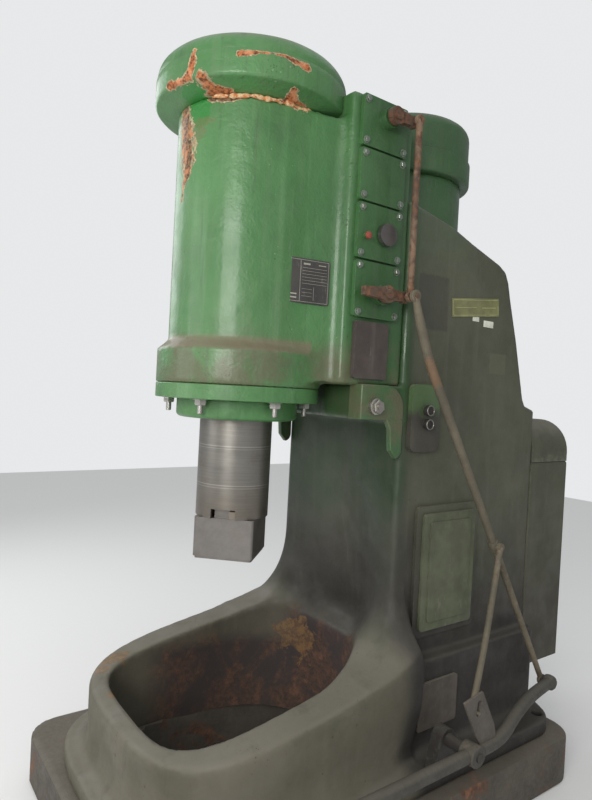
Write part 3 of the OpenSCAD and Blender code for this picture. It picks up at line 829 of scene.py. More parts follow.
        def write(g: Graph, s: dict) -> dict:
            """Writes the distance to the segment over its width there."""
            away = g.node("VectorMath", {0: s["Place"], 1: s["Start"]}, operation="SUBTRACT")
            along = g.node("VectorMath", {0: s["End"], 1: s["Start"]}, operation="SUBTRACT")
            dot = g.node("VectorMath", {0: away, 1: along}, out="Value", operation="DOT_PRODUCT")
            square = g.node("VectorMath", {0: along, 1: along}, out="Value", operation="DOT_PRODUCT")
            t = g.math("MINIMUM", g.math("MAXIMUM", g.math("DIVIDE", dot, square), 0.0), 1.0)
            off = g.node("VectorMath", {0: away, 1: g.shade(along, t)}, operation="SUBTRACT")
            far = g.node("VectorMath", {0: off}, out="Value", operation="LENGTH")
            grow = g.math("MULTIPLY", t, g.math("SUBTRACT", s["Last width"], s["First width"]))
            width = g.math("ADD", s["First width"], grow)
            return {"Depth": g.math("SUBTRACT", 1.0, g.math("DIVIDE", far, width))}

        tree = cls.tree("Torn strip", {"Place": ("NodeSocketVector", None), "Start": ("NodeSocketVector", None),
                                       "End": ("NodeSocketVector", None), "First width": ("NodeSocketFloat", 0.01),
                                       "Last width": ("NodeSocketFloat", 0.01)}, {"Depth": "NodeSocketFloat"}, write)
        return cls.use(g, tree, {"Place": place, "Start": start, "End": end, "First width": widths[0],
                                 "Last width": widths[1]})["Depth"]

    @classmethod
    def panel(cls, g: Graph, place: Socket, y: tuple[float, float], z: tuple[float, float], soft: float) -> Socket:
        """Mask of a faded rectangle on a side wall: the product of two soft steps in y and two in z.

        Args:
            g: the tree to write in.
            place: position on the piece.
            y: its span in y.
            z: its span in z.
            soft: width of its edge.

        Returns:
            the mask.
        """

        def write(g: Graph, s: dict) -> dict:
            """Writes the four steps, with their edge moved about by noise."""
            _, y, z = g.xyz(s["Place"])
            rag = g.math("MULTIPLY", g.math("SUBTRACT", g.noise(s["Place"], 23, 6, 0.65), 0.5), 1.4)
            masks = []
            for value, low, high in ((y, "Y low", "Y high"), (z, "Z low", "Z high")):
                for edge, sign in ((low, 1.0), (high, -1.0)):
                    over = g.math("DIVIDE", g.math("SUBTRACT", value, s[edge]), s["Soft"])
                    masks.append(g.step(g.math("ADD", g.math("MULTIPLY", over, sign), rag), -0.5, 0.5))
            return {"Mask": g.both(*masks)}

        names = {"Place": ("NodeSocketVector", None), "Soft": ("NodeSocketFloat", 0.01)}
        names |= {key: ("NodeSocketFloat", 0.0) for key in ("Y low", "Y high", "Z low", "Z high")}
        tree = cls.tree("Faded rectangle", names, {"Mask": "NodeSocketFloat"}, write)
        return cls.use(g, tree, {"Place": place, "Soft": soft, "Y low": y[0], "Y high": y[1], "Z low": z[0],
                                 "Z high": z[1]})["Mask"]


def around(angle: float, height: float, radius: float) -> Point:
    """Point at an angle in degrees about the ram axis, a height and a radius."""
    return (radius * math.cos(math.radians(angle)), radius * math.sin(math.radians(angle)), height)


def chain(points: Sequence[tuple[float, float, float]], radius: float) -> tuple:
    """Torn strips through (angle, height, half width) points on a cylinder, as (start, end, widths)."""
    return tuple((around(a[0], a[1], radius), around(b[0], b[1], radius), (a[2], b[2]))
                 for a, b in zip(points, points[1:]))


@dataclass(frozen=True)
class Finish:
    """A finish: its name, the record's slot and the look that its own write method gives."""

    name: str = "finish"
    slot: str = "green_casting"

    def write(self, g: Graph, place: Socket) -> dict:
        """Returns the inputs of the Principled shader, with Height for its bump."""
        raise NotImplementedError

    def material(self) -> bpy.types.Material:
        """The material, made once for each name.

        Returns:
            the material.
        """
        found = bpy.data.materials.get(self.name)
        if found:
            return found
        m = bpy.data.materials.new(self.name)
        m.use_nodes = True
        tree = m.node_tree
        shader = next(n for n in tree.nodes if n.type == "BSDF_PRINCIPLED")
        g = Graph(tree)
        look = self.write(g, g.place())
        height, strength, distance = look.pop("Height", None), look.pop("Strength", 0.3), look.pop("Distance", 0.002)
        if height is not None:
            look["Normal"] = g.node("Bump", {"Height": height, "Strength": strength, "Distance": distance})
        for key, value in look.items():
            if isinstance(value, bpy.types.NodeSocket):
                tree.links.new(value, shader.inputs[key])
            else:
                shader.inputs[key].default_value = value
        return m


@dataclass(frozen=True)
class GreenEnamel(Finish):
    """Glossy green enamel over rough filler, with chips, dust, grime runs and torn strips of bare filler."""

    name: str = "Green enamel"
    slot: str = "green_casting"
    dust: float = 0.55
    gloss: float = 0.26
    scars: tuple = ()
    core: tuple = (186, 104, 66)
    lump: tuple = (210, 140, 98)
    fresh: tuple = ()
    smears: tuple = ()
    grime: float = 0.0

    def write(self, g: Graph, place: Socket) -> dict:
        """Writes the look that the class describes.

        Args:
            g: the tree to write in.
            place: position on the piece.

        Returns:
            the inputs of the shader.
        """
        tone = g.noise(place, 2.1, 5, 0.6)
        paint = g.mix(g.step(tone, 0.3, 0.7), srgb(60, 108, 58), srgb(80, 130, 76))
        paint = g.mix(g.both(g.step(g.noise(place, 7.5, 6, 0.65), 0.5, 0.72), 0.6), paint, srgb(56, 100, 56))
        streaks = g.step(g.noise(g.stretch(place, (30, 30, 2.5)), 1.1, 5, 0.65), 0.52, 0.74)
        paint = g.mix(g.both(streaks, 0.25), paint, srgb(104, 150, 102))
        dust = Groups.settled(g, place, self.dust, 0.26, 0.40)
        paint = g.mix(dust, paint, srgb(118, 120, 102))
        runs = g.both(g.step(g.noise(g.stretch(place, (22, 22, 1.3)), 1.3, 5, 0.7), 0.56, 0.76), 0.45)
        paint = g.mix(runs, paint, srgb(58, 76, 52))
        chips = g.either(Groups.chips(g, place, 34, 0.20), Groups.chips(g, place, 90, 0.24))
        paint = g.mix(g.both(chips, 0.5), paint, srgb(60, 66, 48))
        # Small raised dents, coloured pale green as painted glints of light on them.
        nicks_and_glints = Groups.chips(g, place, 43, 0.21)
        paint = g.mix(g.both(nicks_and_glints, 0.45), paint, srgb(140, 170, 134))
        edge = Groups.worn_edge(g, place, 0.0)
        paint = g.mix(g.both(edge, 0.5), paint, srgb(126, 150, 122))
        sheen = g.step(g.noise(place, 12, 5), 0.3, 0.7, self.gloss + 0.1, self.gloss + 0.24)
        rough = g.math("ADD", g.math("MULTIPLY", dust, 0.45), sheen)
        lumps = g.math("ADD", g.noise(place, 19, 5, 0.55, 0.5), g.math("MULTIPLY", g.noise(place, 95, 4), 0.3))
        height = g.math("SUBTRACT", lumps, g.math("MULTIPLY", chips, 0.5))
        height = g.math("ADD", height, g.math("MULTIPLY", nicks_and_glints, 0.5))
        x, y, z = g.xyz(place)
        # Painted shade: the enamel darkens towards the back (+y), over the chest covers, the ears and the compressor
        # cap.
        paint = g.shade(paint, g.step(y, 0.12, 0.36, 1.0, 0.53))
        if self.grime:
            low = g.both(g.step(z, 1.83, 1.70), g.step(g.noise(place, 6, 6, 0.65), 0.36, 0.62), self.grime)
            paint = g.mix(low, paint, srgb(92, 86, 66))
            reach = g.math("SQRT", g.math("ADD", g.math("MULTIPLY", x, x), g.math("MULTIPLY", y, y)))
            ledge = g.both(g.step(z, 1.785, 1.760), g.step(z, 1.722, 1.736), g.step(reach, 0.312, 0.306), self.grime)
            paint = g.mix(ledge, paint, srgb(116, 104, 84))
        if self.fresh:
            spot = Groups.patch(g, place, self.fresh[0], self.fresh[1], 0.9)
            paint = g.mix(g.both(spot, 0.7), paint, srgb(24, 122, 40))
        for centre, size in self.smears:
            paint = g.mix(g.both(Groups.patch(g, place, centre, size, 1.0), 0.4), paint, srgb(112, 96, 64))
        if self.scars:
            depth = g.either(*[Groups.scar(g, place, *scar) for scar in self.scars])
            rag = g.math("MULTIPLY", g.math("SUBTRACT", g.noise(place, 42, 6, 0.62, 0.3), 0.5), 2.6)
            depth = g.math("ADD", depth, rag)
            mask, inner = g.step(depth, -0.05, 0.06), g.step(depth, 0.12, 0.42)
            crust = g.noise(place, 64, 8, 0.72)
            cream = g.mix(g.step(crust, 0.4, 0.62), srgb(150, 140, 110), srgb(206, 188, 152))
            dark = tuple(int(c * 0.5) for c in self.core)
            core = g.mix(g.step(g.noise(place, 90, 6, 0.7), 0.42, 0.58), srgb(*dark), srgb(*self.core))
            core = g.mix(g.step(g.noise(place, 31, 5, 0.6), 0.46, 0.64), core, srgb(*self.lump))
            paint = g.mix(mask, paint, g.mix(inner, cream, core))
            rough = g.mix(mask, rough, (0.9, 0.9, 0.9, 1))
            depth = g.math("SUBTRACT", g.math("MULTIPLY", crust, 2.4), 2.0)
            height = g.math("ADD", height, g.math("MULTIPLY", mask, depth))
        return {"Base Color": paint, "Roughness": rough, "Height": height, "Strength": 0.6, "Distance": 0.007,
                "Coat Weight": 0.22, "Coat Roughness": 0.14}


# Yellow rust on the far front corner of the rim, on the wall below it and at the pit's rear end: centre, half sizes.
RUST_SPOTS = (((-0.39, -0.29, 0.485), (0.035, 0.075, 0.05)), ((-0.34, -0.345, 0.47), (0.035, 0.03, 0.04)),
              ((-0.16, -0.375, 0.42), (0.05, 0.03, 0.06)), ((-0.17, 0.46, 0.51), (0.16, 0.06, 0.09)))


@dataclass(frozen=True)
class DustyCasting(Finish):
    """Old green paint under dust: greener up the front, grey-beige round the ring, rusty in the pit; painted shade
    darkens the front, head, foot and pit walls.

    Brown grime and painted shade together darken the lowest part of the side walls, and faded rectangles show where
    plates once were.
    """

    name: str = "Dusty casting"
    slot: str = "dusty_casting"
    pit: bool = False
    dust: float = 0.8
    # Weight of the brown grime and painted shade on the lowest part of the side walls.
    grime: float = 0.92
    faded: tuple = ()
    pit_middle: float = 0.07
    pit_size: tuple = (0.388, 0.455)
    pit_power: float = 2.7

    def write(self, g: Graph, place: Socket) -> dict:
        """Writes the look that the class describes.

        Args:
            g: the tree to write in.
            place: position on the piece.

        Returns:
            the inputs of the shader.
        """
        x, y, z = g.xyz(place)
        tone = g.noise(place, 1.9, 6, 0.62)
        green = g.mix(g.step(tone, 0.32, 0.68), srgb(68, 71, 57), srgb(80, 82, 66))
        beige = g.mix(g.step(tone, 0.32, 0.68), srgb(80, 77, 63), srgb(101, 97, 84))
        lift = g.math("ADD", z, g.math("MULTIPLY", g.math("SUBTRACT", g.noise(place, 2.6, 4), 0.5), 0.5))
        paint = g.mix(g.step(lift, 0.95, 0.45), green, beige)
        # The dark green of the column front is partly its paint and partly painted shade.
        front = g.both(g.step(y, 0.60, 0.50), g.step(lift, 0.75, 1.25))
        paint = g.mix(g.both(front, 0.95), paint, srgb(26, 52, 24))
        # Painted shade: dark grey where the column's foot sweeps into the ring.
        foot = g.both(g.step(y, 0.40, 0.50), g.step(y, 0.66, 0.58), g.step(z, 0.64, 0.74), g.step(lift, 1.35, 0.85))
        paint = g.mix(g.both(foot, 0.7), paint, srgb(48, 45, 42))
        # Painted shade over the green paint: the head's front face under the cylinder block is darker.
        head = g.both(g.step(y, 0.55, 0.50), g.step(z, 1.44, 1.52))
        paint = g.mix(g.both(head, 0.8), paint, srgb(45, 77, 40))
        upper = g.both(g.step(lift, 1.95, 2.25), g.step(y, 1.0, 0.7))
        paint = g.mix(g.both(upper, 0.5), paint, srgb(73, 94, 70))
        blotch = g.step(g.noise(place, 4.6, 6, 0.66), 0.50, 0.66)
        paint = g.mix(g.both(blotch, 0.35), paint, srgb(68, 71, 54))
        # Brown grime and painted shade together darken the lowest part of the side walls.
        side = g.both(g.step(y, 0.42, 0.54), g.step(lift, 1.15, 0.55))
        paint = g.mix(g.both(side, self.grime), paint, srgb(38, 34, 33))
        clean = g.math("SUBTRACT", 1.0, g.both(g.either(front, side), 0.6))
        dust = g.both(Groups.settled(g, place, self.dust, 0.34, 0.3), clean)
        paint = g.mix(g.both(dust, 0.9), paint, srgb(110, 106, 94))
        stain = g.step(g.noise(g.stretch(place, (7, 7, 1.4)), 1.2, 6, 0.7), 0.54, 0.74)
        paint = g.mix(g.both(stain, 0.45), paint, srgb(61, 59, 49))
        near = g.step(x, 0.30, 0.34)
        for at_y, at_z, soft, tint, weight in self.faded:
            paint = g.mix(g.both(Groups.panel(g, place, at_y, at_z, soft), near, weight), paint, srgb(*tint))
        chips = g.either(Groups.chips(g, place, 24, 0.18), Groups.chips(g, place, 70, 0.2))
        paint = g.mix(g.both(chips, 0.7), paint, srgb(68, 50, 38))
        edge = Groups.worn_edge(g, place, 0.0)
        paint = g.mix(g.both(edge, 0.45), paint, srgb(130, 130, 113))
        rough = g.step(g.noise(place, 10, 5), 0.3, 0.7, 0.52, 0.82)
        rough = g.math("SUBTRACT", rough, g.both(g.either(front, head), g.math("SUBTRACT", 1.0, dust), 0.26))
        height = g.math("ADD", g.noise(place, 22, 6, 0.6), g.math("MULTIPLY", g.noise(place, 130, 4), 0.25))
        if self.pit:
            parts = [g.math("POWER", g.math("ABSOLUTE", g.math("DIVIDE", value, half)), self.pit_power)
                     for value, half in zip((x, g.math("SUBTRACT", y, self.pit_middle)), self.pit_size)]
            within = g.step(g.math("ADD", *parts), 1.05, 0.9)
            steep = g.step(g.xyz(g.node("NewGeometry", out="Normal"))[2], 0.75, 0.4)
            band = g.both(g.step(x, -0.12, -0.28), g.step(z, 0.45, 0.53), 0.75)
            wall = g.both(within, steep, g.step(z, 0.68, 0.60), g.math("SUBTRACT", 1.0, band))
            rust = Groups.rust(g, place, 0.60, 4.0)
            # Painted shade inside the pit: the dark purple-brown under the rust is partly rust and partly painted
            # shade.
            crust = g.mix(g.both(rust["Mask"], 0.5), srgb(54, 46, 45), rust["Colour"])
            paint = g.mix(g.both(wall, 0.94), paint, crust)
            spots = g.either(*[Groups.patch(g, place, c, s, 0.95) for c, s in RUST_SPOTS])
            yellow = g.mix(g.step(g.noise(place, 40, 6, 0.7), 0.4, 0.6), srgb(97, 70, 44), srgb(137, 103, 61))
            paint = g.mix(g.both(spots, 0.55), paint, yellow)
            height = g.math("ADD", height, g.both(wall, rust["Height"], 0.8))
            rough = g.math("MAXIMUM", rough, g.both(wall, 0.85))
        coat = g.both(g.either(front, head), g.math("SUBTRACT", 1.0, dust), 0.15)
        return {"Base Color": paint, "Roughness": rough, "Height": height, "Strength": 0.5, "Distance": 0.004,
                "Coat Weight": coat, "Coat Roughness": 0.2}


@dataclass(frozen=True)
class BareSteel(Finish):
    """Worked steel: brushed round the axis, with dull stains and a brown bloom."""

    name: str = "Bare steel"
    slot: str = "bare_steel"
    grain: tuple = (6, 6, 260)
    tint: tuple = (142, 139, 133)
    metallic: float = 0.85
    stain: float = 0.5
    rings: bool = False

    def write(self, g: Graph, place: Socket) -> dict:
        """Writes the look that the class describes.

        Args:
            g: the tree to write in.
            place: position on the piece.

        Returns:
            the inputs of the shader.
        """
        fine = g.noise(g.stretch(place, self.grain), 1.0, 4, 0.6)
        steel = g.mix(g.step(fine, 0.3, 0.7), srgb(*[int(c * 0.93) for c in self.tint]), srgb(*self.tint))
        stain = g.step(g.noise(place, 8, 6, 0.65), 0.48, 0.72)
        steel = g.mix(g.both(stain, self.stain), steel, srgb(112, 98, 82))
        height = fine
        rough = g.step(g.noise(g.stretch(place, (3, 3, 12)), 1.4, 4), 0.3, 0.7, 0.31, 0.40)
        if self.rings:
            z = g.xyz(place)[2]
            lines = g.either(*[g.step(g.math("ABSOLUTE", g.math("SUBTRACT", z, at)), w, w * 0.4)
                               for at, w in ((1.392, 0.0022), (1.383, 0.0012), (1.252, 0.0020), (1.243, 0.0012))])
            steel = g.mix(g.both(lines, 0.5), steel, srgb(196, 192, 184))
            height = g.math("SUBTRACT", height, g.math("MULTIPLY", lines, 0.8))
            oil = g.both(g.step(z, 1.30, 1.16), 0.35)
            steel = g.mix(oil, steel, srgb(104, 88, 70))
        rough = g.math("ADD", rough, g.math("MULTIPLY", stain, 0.14))
        return {"Base Color": steel, "Roughness": rough, "Metallic": self.metallic, "Height": height, "Strength": 0.03,
                "Distance": 0.001}


@dataclass(frozen=True)
class RustyIron(Finish):
    """Brown rust over worn paint, with grey dust on top; cover runs from a few patches to all over."""

    name: str = "Rusty iron"
    slot: str = "rusty_iron"
    cover: float = 0.8
    paint: tuple = (108, 100, 86)
    dust: float = 0.5
    scale: float = 14.0
    spots: tuple = ()

    def write(self, g: Graph, place: Socket) -> dict:
        """Writes the look that the class describes.

        Args:
            g: the tree to write in.
            place: position on the piece.

        Returns:
            the inputs of the shader.
        """
        rust = Groups.rust(g, place, self.cover, self.scale)
        darker = srgb(*[int(c * 0.84) for c in self.paint])
        base = g.mix(g.step(g.noise(place, 9, 5), 0.35, 0.65), srgb(*self.paint), darker)
        colour = g.mix(rust["Mask"], base, rust["Colour"])
        dust = Groups.settled(g, place, self.dust, 0.45, 0.1)
        colour = g.mix(dust, colour, srgb(112, 106, 94))
        for centre, size in self.spots:
            colour = g.mix(g.both(Groups.patch(g, place, centre, size, 0.9), 0.5), colour, srgb(128, 94, 66))
        edge = Groups.worn_edge(g, place, 0.0)
        colour = g.mix(g.both(edge, 0.35), colour, srgb(150, 132, 112))
        return {"Base Color": colour, "Roughness": g.step(rust["Height"], 0.3, 0.7, 0.6, 0.9), "Height": rust["Height"],
                "Strength": 0.45, "Distance": 0.002}


@dataclass(frozen=True)
class DullPaint(Finish):
    """Plain dull paint in one colour with scuffs, dust and small chips."""

    name: str = "Dark plate"
    slot: str = "dark_plate"
    colour: tuple = (52, 50, 49)
    dust: float = 0.5
    rough: float = 0.55

    def write(self, g: Graph, place: Socket) -> dict:
        """Writes the look that the class describes.

        Args:
            g: the tree to write in.
            place: position on the piece.

        Returns:
            the inputs of the shader.
        """
        lighter = srgb(*[min(255, int(c * 1.18)) for c in self.colour])
        base = g.mix(g.step(g.noise(place, 14, 5), 0.35, 0.65), srgb(*self.colour), lighter)
        dust = Groups.settled(g, place, self.dust, 0.4, 0.3)
        base = g.mix(dust, base, srgb(128, 122, 110))
        scuff = g.step(g.noise(g.stretch(place, (40, 40, 9)), 1.5, 5, 0.7), 0.60, 0.72)
        base = g.mix(g.both(scuff, 0.4), base, srgb(140, 134, 122))
        return {"Base Color": base, "Roughness": g.step(g.noise(place, 25, 4), 0.3, 0.7, self.rough, self.rough + 0.2),
                "Height": g.noise(place, 60, 4), "Strength": 0.2, "Distance": 0.001}


@dataclass(frozen=True)
class TwoTonePanel(Finish):
    """Oil panel: green above, oily dark grey below, with dark knobs."""

    name: str = "Two-tone panel"
    slot: str = "dusty_casting"

    def write(self, g: Graph, place: Socket) -> dict:
        """Writes the look that the class describes.

        Args:
            g: the tree to write in.
            place: position on the piece.

        Returns:
            the inputs of the shader.
        """
        x, _, z = g.xyz(place)
        level = g.math("ADD", z, g.math("MULTIPLY", g.math("SUBTRACT", g.noise(place, 13, 5), 0.5), 0.10))
        paint = g.mix(g.step(level, 1.585, 1.515), srgb(74, 98, 62), srgb(60, 58, 52))
        paint = g.mix(Groups.settled(g, place, 0.5, 0.4, 0.3), paint, srgb(120, 118, 100))
        paint = g.mix(g.step(x, 0.3835, 0.3845), paint, srgb(46, 44, 42))
        paint = g.mix(g.both(Groups.worn_edge(g, place, 0.0), 0.7), paint, srgb(150, 152, 136))
        return {"Base Color": paint, "Roughness": g.step(g.noise(place, 20, 4), 0.3, 0.7, 0.35, 0.6),
                "Height": g.noise(place, 30, 5), "Strength": 0.3, "Distance": 0.003}


@dataclass(frozen=True)
class BareFiller(Finish):
    """Cracked filler: orange and cream lumps with dark cracks."""

    name: str = "Bare filler"

    def write(self, g: Graph, place: Socket) -> dict:
        """Writes the look that the class describes.

        Args:
            g: the tree to write in.
            place: position on the piece.

        Returns:
            the inputs of the shader.
        """
        crust = g.noise(place, 70, 8, 0.7)
        colour = g.mix(g.step(crust, 0.42, 0.58), srgb(186, 112, 64), srgb(212, 184, 142))
        crack = g.step(g.noise(place, 38, 6, 0.7, 0.5), 0.58, 0.64)
        colour = g.mix(crack, colour, srgb(84, 48, 34))
        return {"Base Color": colour, "Roughness": g.step(crust, 0.3, 0.7, 0.8, 0.95), "Height": crust,
                "Strength": 0.6, "Distance": 0.003}


class Side(Enum):
    """The two long sides of the hammer, by the sign of X."""

    NEAR = 1
    FAR = -1

    def span(self, inner: float, outer: float) -> tuple[float, float]:
        """The stretch from inner to outer on this side, lowest X first."""
        return (inner, outer) if self is Side.NEAR else (-outer, -inner)


@dataclass
class BaseAndColumn:
    """Ring base, foot flange, gear-case column and the head that carries the cylinder block, as one casting."""

    half_width: float = 0.360
    front: float = 0.505
    rear: float = 1.370
    block_half_width: float = 0.425
    ring_top: float = 0.590
    rim_start: float = 0.285
    rim_tilt: float = math.radians(10)
    flange_low: float = 0.190
    flange_top: float = 0.250
    flange_half_width: float = 0.560
    sole_half_width: float = 0.620
    sole_rear: float = 1.420
    sole_front: float = 0.555
    ring_front_power: float = 3.3
    pit_half_width: float = 0.373
    pit_front: float = -0.37
    pit_turn: float = 0.07
    pit_front_power: float = 4.2
    pit_rear: float = 0.51
    pit_rear_power: float = 2.3
    sole_pit_rear: float = 0.60
    sole_pit_power: float = 2.9
    hole: float = 0.022
    hole_x: float = 0.495
    hole_rows: tuple = (0.80, 1.30)
    head_low: float = 1.512
    head_high: float = 1.6395
    head_front: float = 0.290
    ear_face: float = 0.370
    finish: Finish = DustyCasting("Dusty casting with pit", pit=True, faded=(
        ((0.561, 0.734), (1.868, 2.079), 0.014, (52, 52, 47), 0.5),
        ((1.015, 1.128), (1.719, 1.806), 0.004, (92, 94, 76), 0.6)))
    sole_finish: Finish = RustyIron("Rusty sole plate", cover=0.48, paint=(80, 75, 67), dust=0.52, scale=5.0)
    ear_finish: Finish = GreenEnamel("Green enamel of the ears", dust=0.5, gloss=0.24, grime=0.8)

    def profile(self) -> list[tuple[float, float]]:
        """Side outline of the column with its sloping roof, as (y, z)."""
        f, r = self.front, self.rear
        return [(f, 0.50), (f, 2.34), (0.75, 2.29), (0.88, 2.245), (1.06, 2.19), (1.105, 2.165), (1.13, 2.12),
                (1.15, 2.05), (1.21, 1.87), (1.28, 1.62), (1.30, 1.59), (r, 1.57), (r, 0.50)]

    def holes(self, x: Array, y: Array) -> Array:
        """Plane distance to the four foundation holes."""
        return np.minimum(*[pillar(np.abs(x), y, self.hole_x, row, self.hole) for row in self.hole_rows])

    def pit(self, x: Array, y: Array) -> Array:
        """Plane distance to the opening for the anvil."""
        power = np.where(y < self.pit_turn, self.pit_front_power, self.pit_rear_power)
        return oval(x, y, self.pit_half_width, self.pit_front, self.pit_rear, power)

    def solid(self, x: Array, y: Array, z: Array) -> Array:
        """Distance field of the casting; fillets grow at the front foot, where the column sweeps into the ring.

        Args:
            x: first coordinate of the points.
            y: their second.
            z: their third.

        Returns:
            the distance.
        """
        w = self.flange_half_width
        foot = np.minimum(oval(x, y, w, -0.512, 0.752, 3.4), rect(x, y, -w, w, -0.04, 1.39, 0.16))
        flange = slab(foot, z, self.flange_low, self.flange_top, 0.012)
        rim = (z - self.ring_top - (y - self.rim_start) * math.tan(self.rim_tilt)) * math.cos(self.rim_tilt)
        top = np.maximum(rim, z - self.ring_top)
        outer = oval(x, y, 0.505, -0.44, 0.68, np.where(y < 0.12, self.ring_front_power, 2.8))
        outer = outer - 0.03 * np.clip((0.34 - z) / 0.12, 0, 1) ** 2
        wall = clip(outer, top, 0.022)
        base = join(flange, wall, 0.05)
        block = slab(rect(x, y, -self.block_half_width, self.block_half_width, 0.52, self.rear, 0.04), z,
                     self.flange_low, self.ring_top, 0.014)
        base = join(base, block, 0.06)
        column = slab(outline(y, z, self.profile()), x, -self.half_width, self.half_width, 0.022)
        angle = math.atan(0.095 / 0.86)
        v = (y - self.front - 0.095) * math.cos(angle) + (z - self.ring_top) * math.sin(angle)
        hollow = np.hypot(x, v + 0.521) - 0.521
        column = cut(column, np.maximum(hollow, z - 1.50), 0.05)
        flank = np.clip((np.abs(x) - 0.08) / 0.24, 0, 1)
        reach = 0.03 + (0.11 + 0.22 * flank * flank * (3 - 2 * flank)) * np.clip((0.66 - y) / 0.10, 0, 1)
        base = join(base, column, reach)
        w = self.half_width
        head = slab(rect(x, y, -w, w, self.head_front + 0.003, 0.53, 0.006), z, self.head_low, self.head_high, 0.008)
        head = cut(head, pillar(x, y, 0, 0, 0.330), 0.006)
        base = join(base, head, 0.02)
        base = cut(base, np.maximum(self.pit(x, y), z - 0.82), 0.013)
        return cut(base, np.maximum(self.holes(x, y), z - 0.30), 0.004)

    def sole(self, x: Array, y: Array, z: Array) -> Array:
        """Distance field of the sole plate under the flange.

        Args:
            x: first coordinate of the points.
            y: their second.
            z: their third.

        Returns:
            the distance.
        """
        block = slab(rect(x, y, -self.sole_half_width, self.sole_half_width, -self.sole_front, self.sole_rear, 0.12),
                     z, 0.0, 0.1895, 0.010)
        opening = oval(x, y, self.pit_half_width, self.pit_front, self.sole_pit_rear, self.sole_pit_power)
        return cut(block, np.minimum(opening, self.holes(x, y)), 0.006)

    def ear(self, side: Side) -> Mesh:
        """Clamp ear with a round upper corner and a thin tongue that hangs along the column's corner.

        Args:
            side: which of the two.

        Returns:
            the mesh.
        """
        corner, tongue = (0.417, self.head_high - 0.088), (0.471, 1.400)
        block = np.concatenate([[(self.head_front, self.head_low), (0.505, self.head_low)],
                                arc(corner, 0.088, 0, 90, 12), [(self.head_front, self.head_high)]])
        blade = np.concatenate([[(0.418, 1.515), (0.440, 1.480), (0.447, 1.400)], arc(tongue, 0.034, -80, 0, 9),
                                [(0.5048, 1.550), (0.418, 1.550)]])
        return merge([across(block, *side.span(0.300, self.ear_face)),
                      across(blade, *side.span(0.346, self.ear_face - 0.0006))])

    def build(self) -> None:
        """Builds the casting, the sole plate and both ears."""
        piece("base_and_column_casting", cast_surface(self.solid, (-0.57, -0.52, 0.18), (0.57, 1.40, 2.35), 0.0125),
              "frame", self.finish, stands_for=("base_ring", "column_case"))
        piece("sole_plate_casting", cast_surface(self.sole, (-0.63, -0.57, 0.0), (0.63, 1.43, 0.19), 0.0165),
              "frame", self.sole_finish, stands_for=("sole_plate",))
        for side in Side:
            piece(f"clamp_ear_{side.name.lower()}", self.ear(side), "frame", self.ear_finish, bevel=0.004)


@dataclass
class CylinderBlock:
    """Ram cylinder with its shoulder, the valve chest, the neck and the compressor cylinder, as one casting."""

    radius: float = 0.265
    shoulder: float = 0.302
    bottom: float = 1.610
    top: float = 2.570
    chest_half_width: float = 0.345
    chest_front: float = 0.205
    chest_top: float = 2.660
    compressor_y: float = 0.812
    compressor_radius: float = 0.245
    finish: Finish = GreenEnamel(
        "Green enamel of the cylinder", dust=0.55, core=(146, 114, 82), lump=(196, 132, 90), grime=0.75,
        fresh=(around(-73, 2.535, 0.265), (0.055, 0.045, 0.060)), smears=(
            (around(-68, 2.490, 0.265), (0.060, 0.05, 0.016)), (around(-72, 2.455, 0.265), (0.050, 0.05, 0.022))),
        scars=chain([(-92, 2.560, 0.030), (-89, 2.500, 0.044), (-86, 2.430, 0.050), (-84, 2.370, 0.036),
                     (-84, 2.335, 0.028), (-88, 2.300, 0.010), (-90, 2.240, 0.006)], 0.265)
        + chain([(-62, 2.566, 0.014), (-50, 2.560, 0.018), (-42, 2.560, 0.012), (-36, 2.566, 0.006),
                 (-2, 2.566, 0.006), (4, 2.556, 0.012), (14, 2.552, 0.015), (23, 2.554, 0.012)], 0.266))

    def solid(self, x: Array, y: Array, z: Array) -> Array:
        """Distance field of the block; the chest flows into the cylinder by a wide fillet.

        Args:
            x: first coordinate of the points.
            y: their second.
            z: their third.

        Returns:
            the distance.
        """
        ring = np.hypot(x, y)
        barrel = slab(ring - self.radius, z, self.bottom + 0.02, self.top, 0.004)
        cone = np.maximum((ring - self.shoulder + np.maximum(z - 1.73, 0) * 1.156) * 0.8, ring - self.shoulder)
        foot = slab(cone, z, self.bottom, 1.765, 0.006)
        body = join(barrel, foot, 0.012)
        w, f = self.chest_half_width, self.chest_front
        chest = slab(rect(x, y, -w, w, f, 0.5045, 0.018), z, 1.64, self.chest_top, 0.008)
        web = slab(outline(x, y, [(0.262, -0.01), (0.296, 0.178), (0.33, 0.23), (0.33, 0.40), (-0.33, 0.40),
                                  (-0.33, 0.23), (-0.296, 0.178), (-0.262, -0.01)]), z, 1.64, self.top, 0.004)
        body = join(join(body, web, 0.03), chest, 0.024)
        neck = slab(rect(x, y, -0.19, 0.19, 0.40, 0.70, 0.01), z, 2.34, 2.60, 0.006)
        behind = slab(pillar(x, y, 0, self.compressor_y, self.compressor_radius), z, 2.085, 2.524, 0.004)
        body = join(join(body, neck, 0.02), behind, 0.03)
        bore = np.minimum(np.maximum(ring - 0.193, 1.757 - z), np.maximum(ring - 0.146, 1.0 - z))
        bore = np.maximum(bore, z - 2.562)
        shafts = rect(y, z, 0.345, 0.385, 2.158, 2.198, 0.004)
        for low, high in ((2.555, 2.625), (1.925, 1.995)):
            shafts = np.minimum(shafts, rect(y, z, 0.318, 0.378, low, high, 0.004))
        return cut(np.maximum(body, -np.maximum(shafts, 0.25 - x)), bore, 0.003)

    def build(self) -> None:
        """Builds the block."""
        piece("cylinder_block_casting", cast_surface(self.solid, (-0.35, -0.31, 1.60), (0.35, 1.06, 2.67), 0.0100),
              "frame", self.finish, stands_for=("cylinder_block",))


